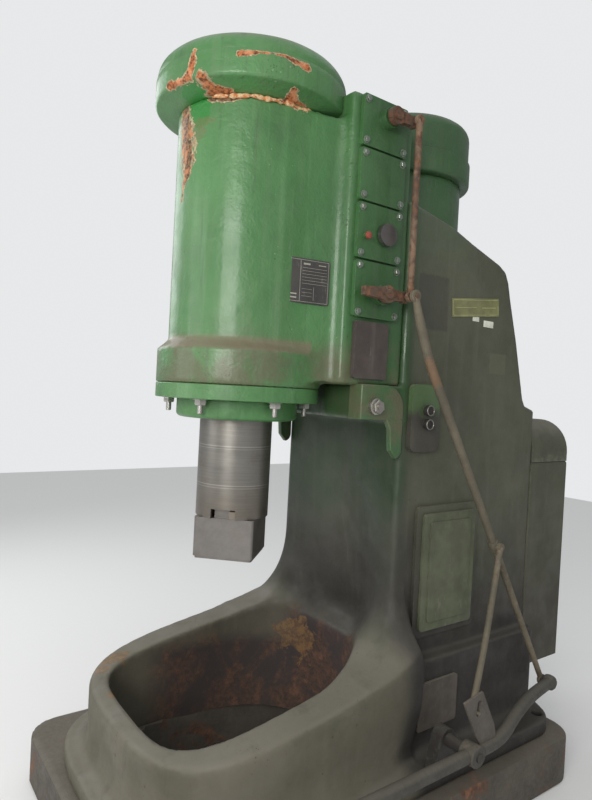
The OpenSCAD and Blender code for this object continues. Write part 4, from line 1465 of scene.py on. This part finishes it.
@dataclass
class Caps:
    """Caps of both cylinders, with the cracked filler along the joint of the front one."""

    radius: float = 0.350
    seat: float = 2.5703
    height: float = 0.200
    joint_radius: float = 0.273
    compressor_y: float = 0.812
    finish: Finish = GreenEnamel(
        "Green enamel of the cap", dust=0.6, core=(192, 114, 66), fresh=(around(-72, 2.570, 0.290), (0.06, 0.05, 0.05)),
        scars=chain([(-64.5, 2.682, 0.011), (-66, 2.640, 0.017), (-67.5, 2.605, 0.018), (-72, 2.596, 0.018),
                     (-78, 2.597, 0.015), (-85, 2.600, 0.017)], 0.350)
        + ((around(-60, 2.592, 0.335), around(-57, 2.572, 0.278), (0.026, 0.034)),
           (around(-54, 2.575, 0.290), around(-46, 2.572, 0.278), (0.024, 0.016)),
           (around(-6, 2.588, 0.322), around(-4, 2.572, 0.278), (0.014, 0.026)),
           (around(-2, 2.572, 0.278), around(8, 2.571, 0.276), (0.018, 0.010)))
        + chain([(-39, 2.661, 0.012), (-33, 2.662, 0.010), (-28, 2.668, 0.004), (-15, 2.671, 0.005),
                 (-8, 2.662, 0.011), (-1, 2.658, 0.014)], 0.350))

    def profile(self) -> Array:
        """Half section of the front cap: a cone under the lip, a small bead, a fine step and a round shoulder."""
        return np.concatenate([
            [(0.14, 0.0), (0.273, 0.0), (0.300, 0.0094), (0.336, 0.022)],
            arc((0.336, 0.036), 0.014, -60, 0, 6),
            [(0.3500, 0.060), (0.3500, 0.085), (0.3500, 0.107), (0.3492, 0.1082), (0.3460, 0.1092)],
            arc((0.279, 0.117), 0.068, 4, 90, 12), [(0.20, 0.1893), (0.10, 0.1946), (0.02, 0.1989)]])

    def front_cap(self) -> Mesh:
        """The profile turned round the ram axis; each ring swells by waves of about 1 mm, as hand-laid filler does.

        Returns:
            the mesh.
        """
        p = self.profile()
        a = np.linspace(0, 2 * np.pi, 160, endpoint=False)
        waves = np.sin(3 * a + 0.7) + 0.7 * np.sin(7 * a + 2.1) + 0.5 * np.sin(13 * a + 4.0)
        swell = 1 + 0.0022 * waves * np.clip(p[:, :1] / self.radius, 0, 1)
        r = np.minimum(p[:, :1] * swell, self.radius + 0.001)
        rings = np.stack([r * np.cos(a), r * np.sin(a), np.repeat(p[:, 1:] + self.seat, len(a), 1)], -1)
        return rings_mesh(rings)

    def filler(self) -> Mesh:
        """Cracked filler squeezed out of the joint: a bar on an arc, its radius and height pushed by sums of sines.

        Returns:
            the mesh.
        """
        s = np.linspace(0, 1, 100)
        a = np.radians(-60 + 88 * s)
        rag = np.sin(31 * s + 1.0) + 0.8 * np.sin(67 * s + 2.0) + 0.6 * np.sin(113 * s + 0.5)
        ends = np.clip(np.minimum(s, 1 - s) / 0.04, 0.25, 1)
        r = (0.0070 + 0.0015 * rag + 0.004 * np.clip((s - 0.75) / 0.1, 0, 1)) * ends
        ring = self.joint_radius - 0.002 + 0.0016 * np.sin(41 * s)
        path = np.stack([ring * np.cos(a), ring * np.sin(a), self.seat - 0.007 + 0.0015 * np.sin(23 * s + 0.4)], 1)
        return tube(path, r, 12, (0, 0, 1), round_ends=True)

    def build(self) -> None:
        """Builds both caps and the filler."""
        piece("ram_cylinder_cap_turned", self.front_cap(), "frame", self.finish, stands_for=("ram_cylinder_cap",))
        piece("joint_filler", self.filler(), "frame", BareFiller())
        piece("compressor_cap_dressed", from_node("compressor_cap"), "frame",
              GreenEnamel("Green enamel, dull", dust=0.75, gloss=0.36), bevel=0.002, stands_for=("compressor_cap",))


@dataclass
class RamGroup:
    """Gland flange and ring with their bolts, the ram, the die and its key."""

    bolt_circle: float = 0.253
    flange_low: float = 1.5577
    finish: Finish = GreenEnamel("Green enamel of the gland", dust=0.35)
    steel: Finish = BareSteel("Ram steel", rings=True)

    def build(self) -> None:
        """Dresses the nodes of the group and adds the hanging bolts."""
        for name in ("gland_flange", "gland_ring"):
            piece(name + "_dressed", from_node(name), "frame", self.finish, bevel=0.003, stands_for=(name,))
        piece("ram_dressed", from_node("ram"), "ram_body", self.steel, bevel=0.002, stands_for=("ram",))
        piece("upper_die_dressed", from_node("upper_die"), "ram_body",
              BareSteel("Die steel", grain=(30, 30, 30), tint=(128, 124, 120), metallic=0.7, stain=0.4), bevel=0.003,
              stands_for=("upper_die",))
        piece("die_key_dressed", from_node("die_key"), "ram_body",
              RustyIron("Rusty key", cover=0.4, paint=(120, 112, 100)), bevel=0.002, stands_for=("die_key",))
        bolts = []
        for a in np.radians([-120, -60, 0, 60, 120, 180]):
            at = (self.bolt_circle * math.cos(a), self.bolt_circle * math.sin(a), self.flange_low - 0.0003)
            bolts.append(hex_bolt(at, (0, 0, -1), 0.021, 0.018, 0.003, a))
            stud = [(0.0095, 0), (0.0095, 0.034), (0.007, 0.036)]
            bolts.append(turned(stud, (at[0], at[1], at[2] - 0.015), (0, 0, -1), 16))
        piece("gland_bolts", merge(bolts), "frame",
              BareSteel("Bolt steel", grain=(60, 60, 60), tint=(176, 174, 168), stain=0.3))


@dataclass
class ChestCovers:
    """Bolted covers on the near side of the valve chest, the dark patch, their screws and the red knob."""

    face: float = 0.3453
    thick: float = 0.018
    rows: tuple = ((2.476, 2.655), (2.286, 2.468), (2.083, 2.278), (1.876, 2.075))
    names: tuple = ("chest_cover_upper", "chest_cover_plain", "chest_cover_hand", "chest_cover_lower")
    knob: tuple = (0.273, 2.161)
    finish: Finish = GreenEnamel("Green enamel of the covers", dust=0.5, gloss=0.22)

    def build(self) -> None:
        """Dresses the covers and adds a screw in each corner."""
        screws = []
        for name, (z0, z1) in zip(self.names, self.rows):
            piece(name + "_dressed", from_node(name), "frame", self.finish, bevel=0.003, stands_for=(name,))
            corners = [(y, z) for y in (0.254, 0.434) for z in (z0 + 0.018, z1 - 0.018)]
            for i, (y, z) in enumerate(corners):
                screws.append(hex_bolt((self.face + self.thick, y, z), (1, 0, 0), 0.0105, 0.008, 0.002, 0.5 * i))
        piece("cover_screws", merge(screws), "frame",
              BareSteel("Screw steel", grain=(80, 80, 80), tint=(150, 160, 148)))
        knob = [(0.0100, 0.0), (0.0125, 0.002), (0.0135, 0.006), (0.0120, 0.011), (0.0070, 0.0145), (0.002, 0.0155)]
        piece("red_knob", turned(knob, (self.face + self.thick + 0.0103, *self.knob), (1, 0, 0), 24), "frame",
              DullPaint("Red knob paint", colour=(132, 58, 44), dust=0.35, rough=0.35))
        piece("chest_patch_dressed", from_node("chest_patch"), "frame", DullPaint("Dark patch", colour=(58, 50, 48)),
              bevel=0.002, stands_for=("chest_patch",))


@dataclass
class ValveGear:
    """Valve levers, link rod, pull rod with its branch, and the hand disc."""

    link: tuple = (0.440, 0.433)
    low: float = 1.960
    high: float = 2.590
    rod: float = 0.012
    pull_rod_radius: float = 0.0175
    branch_radius: float = 0.0120
    pull: tuple = ((0.466, 0.433, 1.960), (0.466, 0.463, 1.870), (0.466, 0.520, 1.738), (0.466, 1.370, 0.372))
    collar: float = 0.855
    branch: tuple = ((0.4953, 0.972, 1.012), (0.5603, 0.821, 0.696), (0.637, 0.656, 0.497))
    lever_finish: Finish = RustyIron("Rusty levers", cover=0.66, paint=(92, 72, 58), dust=0.5, scale=20.0)
    rod_finish: Finish = RustyIron("Rusty link rod", cover=0.6, paint=(128, 100, 78), dust=0.35, scale=13.0)
    pull_finish: Finish = RustyIron("Beige rod paint", cover=0.34, paint=(104, 97, 80), dust=0.35, scale=7.0,
                                     spots=(((0.466, 0.548, 1.700), (0.05, 0.05, 0.075)),))

    def link_rod(self) -> Mesh:
        """Straight rod with an eye at either lever; it thickens a little where it enters the eyes.

        Returns:
            the mesh.
        """
        x, y = self.link
        z = np.linspace(self.low, self.high, 24)
        near = np.minimum(z - self.low, self.high - z)
        body = tube(np.stack([np.full(24, x), np.full(24, y), z], 1), self.rod + 0.002 * np.exp(-near / 0.02), 18)
        eyes = [disc((x, y, end), (1, 0, 0), 0.019, 0.016) for end in (self.low, self.high)]
        return merge([body, *eyes])

    def pull_rod(self) -> Mesh:
        """Bent rod from the lower lever to the rear end of the treadle, with its two eyes and the collar of the branch.

        Returns:
            the mesh.
        """
        p = np.array(self.pull)
        way = (p[3] - p[2]) / np.linalg.norm(p[3] - p[2])
        at = p[2] + self.collar * way
        profile = [(0.013, -0.023), (0.020, -0.022), (0.0215, -0.018), (0.0215, 0.018), (0.020, 0.022), (0.013, 0.023)]
        path = smooth_path(self.pull, 0.06, 10)
        grow = np.clip(np.linalg.norm(path - p[0], axis=1) / 0.10, 0, 1)
        ends = np.clip(np.linalg.norm(path - p[3], axis=1) / 0.05, 0, 1)
        radius = self.rod + (self.pull_rod_radius - self.rod) * np.minimum(grow, ends)
        return merge([tube(path, radius, 18), turned(profile, at, way, 28),
                      *[disc(end, (1, 0, 0), 0.022, 0.016) for end in (p[0], p[3])]])

    def branch_rod(self) -> Mesh:
        """Thinner bent rod from the collar to the slot, with a round eye, a flat end and the pin in the slot.

        Returns:
            the mesh.
        """
        top, _, slot = self.branch
        pin = [(0.006, 0.0), (0.006, 0.031), (0.0055, 0.0328)]
        return merge([tube(smooth_path(self.branch, 0.09, 10), self.branch_radius, 16),
                      disc(top, (1, 0, 0), 0.017, 0.018), disc(slot, (1, 0, 0), 0.015, 0.018),
                      turned(pin, slot, (1, 0, 0), 18)])

    def build(self) -> None:
        """Dresses the levers and the disc, and builds the rods."""
        for name, body in (("upper_valve_lever", "upper_lever"), ("lower_valve_lever", "lower_lever")):
            piece(name + "_dressed", from_node(name), body, self.lever_finish, bevel=0.003, stands_for=(name,))
        piece("link_rod_turned", self.link_rod(), "link_rod", self.rod_finish, stands_for=("valve_link_rod",))
        piece("pull_rod_bent", self.pull_rod(), "pull_rod", self.pull_finish, stands_for=("pull_rod",))
        piece("branch_rod_bent", self.branch_rod(), "pull_rod", self.pull_finish, stands_for=("branch_rod",))
        piece("hand_disc_dressed", from_node("hand_disc"), "hand_disc",
              BareSteel("Disc steel", tint=(128, 124, 122), stain=0.6), bevel=0.003, stands_for=("hand_disc",))


@dataclass
class Treadle:
    """Treadle bar with its slotted plate and the bracket that it turns on."""

    pivot: tuple = (0.660, 0.640, 0.355)
    front: tuple = ((0.150, -0.690, 0.295), (0.440, -0.690, 0.319), (0.550, -0.662, 0.331), (0.638, -0.550, 0.343),
                    (0.660, -0.400, 0.349))
    rear: tuple = ((0.660, 0.805, 0.3605), (0.605, 0.965, 0.375), (0.545, 1.160, 0.377), (0.506, 1.370, 0.372))
    radius: float = 0.024
    # The treadle's dark grey is partly its worn paint and partly painted shade.
    finish: Finish = RustyIron("Worn treadle paint with painted shade", cover=0.22, paint=(70, 68, 62), dust=0.38, scale=9.0)

    def bar(self) -> Mesh:
        """One round bar bent round the front and back to the rear eye, with the hub of the pivot and a rounded eye.

        Returns:
            the mesh.
        """
        path = smooth_path([*self.front, self.pivot, *self.rear], 0.2, 12)
        x, y, z = self.pivot
        hub = [(0.0155, 0.0), (0.034, 0.0), (0.038, 0.004), (0.038, 0.060), (0.034, 0.064), (0.0155, 0.064)]
        ball = [(0.010, -0.026), (0.022, -0.0245), (0.029, -0.018), (0.032, -0.008), (0.032, 0.008), (0.029, 0.018),
                (0.022, 0.0245), (0.010, 0.026)]
        pin = [(0.009, 0.0), (0.009, 0.034)]
        eye = self.rear[-1]
        return merge([tube(path, self.radius, 26, (0, 0, 1), round_ends=True),
                      turned(hub, (x - 0.034, y, z), (1, 0, 0), 40), turned(ball, eye, (1, 0, 0), 32),
                      turned(pin, (eye[0] - 0.054, *eye[1:]), (1, 0, 0), 20)])

    def build(self) -> None:
        """Builds the bar and dresses its plate and its bracket."""
        piece("treadle_bar_bent", self.bar(), "treadle", self.finish, stands_for=("treadle_bar",))
        piece("slotted_plate_dressed", from_node("slotted_plate"), "treadle",
              RustyIron("Rusty plate", cover=0.3, paint=(86, 80, 74), dust=0.35), bevel=0.0015,
              stands_for=("slotted_plate",))
        piece("treadle_bracket_dressed", from_node("treadle_bracket"), "frame", DustyCasting("Dusty bracket"),
              bevel=0.003, stands_for=("treadle_bracket",))


@dataclass
class SideFittings:
    """Oil panel, doors, hatch, clamp bolts and the bare plates on the sides of the column."""

    wall: float = 0.3603
    web_start: tuple = (0.262, -0.010)
    web_end: tuple = (0.296, 0.178)
    plate_span: tuple = (0.024, 0.186)
    plate_rows: tuple = (1.905, 2.060)
    clamp_at: tuple = (0.355, 1.560)
    label_at: tuple = (0.760, 1.930)
    label_size: tuple = (0.302, 0.076)
    label_tilt: float = math.radians(6.7)
    stickers: tuple = (((0.889, 0.930), (1.929, 1.949)), ((0.962, 1.026), (1.912, 1.939)))
    finish: Finish = DustyCasting("Dusty fittings", dust=0.7)
    print_finish: Finish = DullPaint("Pale print", colour=(136, 134, 124), dust=0.3)

    def strips(self, boxes: Sequence[tuple[float, float, float, float]], origin: Sequence[float],
               along: Sequence[float], lift: Sequence[float], out: Sequence[float], thick: float = 0.0006) -> Mesh:
        """Thin raised strips on a flat plate.

        Args:
            boxes: (s0, s1, t0, t1) of each strip, s along the plate and t up it.
            origin: corner of the plate on its face.
            along: unit direction of s.
            lift: unit direction of t.
            out: unit direction out of the plate.
            thick: height of a strip.

        Returns:
            the mesh.
        """
        parts = []
        for s0, s1, t0, t1 in boxes:
            middle = np.array(origin) + (s0 + s1) / 2 * np.array(along) + (t0 + t1) / 2 * np.array(lift)
            parts.append(plate((s1 - s0) / 2, (t1 - t0) / 2, 0.0004, [(0, -0.0003), (0, thick * 0.6), (0.0002, thick)],
                               middle, out, lift))
        return merge(parts)

    def name_plate_print(self) -> Mesh:
        """Generic grid of a rating plate: border, a column line, a top bar and six field lines, with no lettering.

        Returns:
            the mesh.
        """
        way = np.array(self.web_end) - np.array(self.web_start)
        way /= np.linalg.norm(way)
        out = (way[1], -way[0], 0.0)
        corner = np.array(self.web_start) + self.plate_span[0] * way + 0.0053 * np.array(out[:2])
        origin = (*corner, self.plate_rows[0])
        w, h = self.plate_span[1] - self.plate_span[0], self.plate_rows[1] - self.plate_rows[0]
        e, t = 0.005, 0.0014
        boxes = [(e, w - e, e, e + t), (e, w - e, h - e - t, h - e), (e, e + t, e, h - e), (w - e - t, w - e, e, h - e),
                 (0.29 * w, 0.29 * w + t, e, h - e), (0.36 * w, 0.52 * w, 0.86 * h, 0.90 * h),
                 (0.72 * w, 0.90 * w, 0.87 * h, 0.89 * h), (0.08 * w, 0.22 * w, 0.10 * h, 0.13 * h),
                 (0.08 * w, 0.22 * w, 0.18 * h, 0.21 * h), (0.62 * w, 0.62 * w + t, 0.08 * h, 0.38 * h)]
        boxes += [(0.34 * w, 0.93 * w, row * h, row * h + 0.0012) for row in (0.44, 0.51, 0.58, 0.65, 0.72, 0.79)]
        boxes += [(0.34 * w, 0.58 * w, row * h, row * h + 0.0012) for row in (0.16, 0.24, 0.32)]
        return self.strips(boxes, origin, (*way, 0.0), (0, 0, 1), out)

    def label_print(self) -> Mesh:
        """Worn pale border of the olive label and the worn line between its two fields.

        Returns:
            the mesh.
        """
        c, s = math.cos(self.label_tilt), math.sin(self.label_tilt)
        w, h = self.label_size
        e, t = 0.006, 0.0022
        boxes = [(e, w * 0.7, e, e + t), (w * 0.78, w - e, e, e + t), (e, w - e, h - e - t, h - e),
                 (e, e + t, e, h - e), (w - e - t, w - e, e, h * 0.6), (e * 3, w * 0.5, h * 0.49, h * 0.52),
                 (w * 0.62, w - 4 * e, h * 0.46, h * 0.5)]
        return self.strips(boxes, (self.wall + 0.003, *self.label_at), (0, c, s), (0, -s, c), (1, 0, 0))

    def build(self) -> None:
        """Dresses the fittings on both sides and adds the print of the plates."""
        for name in ("door_frame_near", "door_frame_far"):
            piece(name + "_dressed", from_node(name), "frame", self.finish, bevel=0.003, stands_for=(name,))
        piece("oil_panel_dressed", from_node("oil_panel"), "frame", TwoTonePanel(), bevel=0.004,
              stands_for=("oil_panel",))
        rims = [torus((0.4085, 0.612, z), (1, 0, 0), 0.0185, 0.0026) for z in (1.500, 1.553)]
        piece("oil_knob_rims", merge(rims), "frame", BareSteel("Rim steel", tint=(150, 148, 138), stain=0.4))
        for side in Side:
            name = "door_" + side.name.lower()
            piece(name + "_dressed", from_node(name), "frame",
                  DullPaint("Pale door paint", "dusty_casting", (72, 78, 58), 0.45), bevel=0.003, stands_for=(name,))
            name = "clamp_bolt_" + side.name.lower()
            piece(name + "_dressed", from_node(name), "frame",
                  BareSteel("Worn bolt steel", tint=(168, 162, 154), stain=0.4), bevel=0.0015, stands_for=(name,))
        nuts = []
        for side, turn in ((Side.NEAR, 0.35), (Side.FAR, 0.8)):
            at, way = (side.value * 0.3776, *self.clamp_at), (side.value, 0, 0)
            nuts += [turned([(0.012, 0), (0.0295, 0), (0.0295, 0.0045), (0.0275, 0.006), (0.012, 0.006)], at, way, 36),
                     hex_bolt((side.value * 0.3835, *self.clamp_at), way, 0.0265, 0.0155, turn=turn)]
        piece("clamp_nuts", merge(nuts), "frame", BareSteel("Worn nut steel", tint=(172, 168, 160), stain=0.35))
        piece("side_hatch_dressed", from_node("side_hatch"), "frame",
              DullPaint("Hatch paint", colour=(72, 66, 60), dust=0.5), bevel=0.002, stands_for=("side_hatch",))
        piece("name_plate_dressed", from_node("name_plate"), "frame", DullPaint("Dark plate"), bevel=0.0012,
              stands_for=("name_plate",))
        piece("name_plate_print", self.name_plate_print(), "frame", self.print_finish)
        piece("side_plate_dressed", from_node("side_plate"), "frame",
              DullPaint("Olive plate", "olive_plate", (104, 106, 68)), bevel=0.0008, stands_for=("side_plate",))
        piece("side_plate_print", self.label_print(), "frame",
              DullPaint("Worn olive print", colour=(148, 148, 106), dust=0.3))
        patches = [self.strips([(y0, y1, z0, z1)], (self.wall - 0.0002, 0, 0), (0, 1, 0), (0, 0, 1), (1, 0, 0), 0.0008)
                   for (y0, y1), (z0, z1) in self.stickers]
        piece("white_stickers", merge(patches), "frame", DullPaint("White sticker", colour=(196, 198, 184), dust=0.35))


@dataclass
class BeltGuard:
    """Sheet guard over the belt drive behind the column."""

    finish: Finish = DustyCasting("Dusty sheet", dust=0.75, grime=0.5)

    def build(self) -> None:
        """Dresses the guard and its crown."""
        for name in ("belt_guard", "guard_crown"):
            piece(name + "_dressed", from_node(name), "frame", self.finish, bevel=0.003, stands_for=(name,))


@dataclass
class Studio:
    """Floor, lamps, world and the camera at the photograph's place."""

    azimuth: float = math.radians(54)
    roll: float = math.radians(3.0)
    pitch: float = math.radians(-0.8)
    place: tuple = (1.990, -1.174, 1.600)
    focal_pixels: float = 612.0
    picture_height: float = 800.0
    floor_size: float = 9.0

    def camera(self) -> None:
        """Camera with right vector (cos a, sin a, 0) rolled about the view line."""
        a = self.azimuth
        right = np.array([math.cos(a), math.sin(a), 0.0])
        level = math.cos(self.pitch)
        forward = np.array([-math.sin(a) * level, math.cos(a) * level, math.sin(self.pitch)])
        up = np.cross(right, forward)
        r = right * math.cos(self.roll) + up * math.sin(self.roll)
        u = up * math.cos(self.roll) - right * math.sin(self.roll)
        data = bpy.data.cameras.new("Camera")
        data.sensor_width, data.sensor_fit = 36.0, "AUTO"
        data.lens = self.focal_pixels * 36.0 / self.picture_height
        obj = bpy.data.objects.new("Camera", data)
        bpy.context.scene.collection.objects.link(obj)
        m = np.eye(4)
        m[:3, 0], m[:3, 1], m[:3, 2], m[:3, 3] = r, u, -forward, self.place
        obj.matrix_world = Matrix(m.tolist())
        bpy.context.scene.camera = obj

    def lamp(self, name: str, at: Point, to: Point, size: float, power: float, colour: Point = (1, 1, 1)) -> None:
        """One square area lamp.

        Args:
            name: its name.
            at: where it hangs.
            to: the point that it looks at.
            size: its side.
            power: its watts.
            colour: its colour.
        """
        data = bpy.data.lights.new(name, "AREA")
        data.size, data.energy, data.color = size, power, colour
        obj = bpy.data.objects.new(name, data)
        bpy.context.scene.collection.objects.link(obj)
        z = np.array(at, float) - np.array(to, float)
        z /= np.linalg.norm(z)
        x = np.cross((0, 0, 1), z)
        x /= np.linalg.norm(x)
        m = np.eye(4)
        m[:3, 0], m[:3, 1], m[:3, 2], m[:3, 3] = x, np.cross(z, x), z, at
        obj.matrix_world = Matrix(m.tolist())

    def sky(self) -> None:
        """Wide sun straight above, which lights the whole floor evenly."""
        data = bpy.data.lights.new("Sky", "SUN")
        data.energy, data.angle = 0.9, math.radians(100)
        obj = bpy.data.objects.new("Sky", data)
        bpy.context.scene.collection.objects.link(obj)

    def floor(self) -> None:
        """Pale plain floor."""
        size = self.floor_size
        v = np.array([[-size, -size, 0], [size, -size, 0], [size, size, 0], [-size, size, 0]], float)
        data = bpy.data.meshes.new("floor")
        data.from_pydata(v.tolist(), [], [[0, 1, 2, 3]])
        floor = bpy.data.objects.new("floor", data)
        bpy.context.scene.collection.objects.link(floor)
        m = bpy.data.materials.new("Pale floor")
        m.use_nodes = True
        shader = next(n for n in m.node_tree.nodes if n.type == "BSDF_PRINCIPLED")
        shader.inputs["Base Color"].default_value = (0.80, 0.80, 0.79, 1)
        shader.inputs["Roughness"].default_value = 0.9
        floor.data.materials.append(m)

    def world(self) -> None:
        """Soft light from all round, shown to the camera as a pale backdrop."""
        world = bpy.data.worlds.new("Studio")
        bpy.context.scene.world = world
        world.use_nodes = True
        tree = world.node_tree
        tree.nodes.clear()
        out = tree.nodes.new("ShaderNodeOutputWorld")
        g = Graph(tree)
        path = tree.nodes.new("ShaderNodeLightPath")
        seen = g.math("MAXIMUM", path.outputs["Is Camera Ray"], path.outputs["Is Transmission Ray"])
        soft = g.node("Background", {"Color": (0.95, 0.97, 1.0, 1), "Strength": 0.34})
        pale = g.node("Background", {"Color": (0.80, 0.81, 0.82, 1), "Strength": 1.0})
        mixed = tree.nodes.new("ShaderNodeMixShader")
        tree.links.new(seen, mixed.inputs[0])
        tree.links.new(soft, mixed.inputs[1])
        tree.links.new(pale, mixed.inputs[2])
        tree.links.new(mixed.outputs[0], out.inputs[0])

    def build(self) -> None:
        """Builds the floor, the world, the lamps and the camera."""
        bpy.context.scene.view_settings.view_transform = "Standard"
        self.floor()
        self.world()
        self.lamp("Key lamp", (2.5, -3.1, 2.5), (0, 0.2, 1.6), 1.7, 105, (1.0, 0.98, 0.95))
        self.lamp("Near fill", (4.2, 0.2, 2.6), (0, 0.5, 1.2), 2.6, 12)
        self.lamp("Far fill", (-3.6, -1.0, 3.2), (0, 0.4, 1.4), 2.4, 45, (0.96, 0.98, 1.0))
        self.lamp("Front fill", (-1.2, -4.2, 2.4), (0, 0.2, 1.2), 2.2, 45)
        self.sky()
        self.camera()


def main() -> None:
    """Builds every sub-assembly in order."""
    logging.basicConfig(level=logging.INFO, format="%(message)s")
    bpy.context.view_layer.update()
    for part in (Studio(), BaseAndColumn(), CylinderBlock(), Caps(), RamGroup(), ChestCovers(), ValveGear(), Treadle(),
                 SideFittings(), BeltGuard()):
        log.info("building %s", type(part).__name__)
        part.build()


if __name__ == "__main__":
    main()
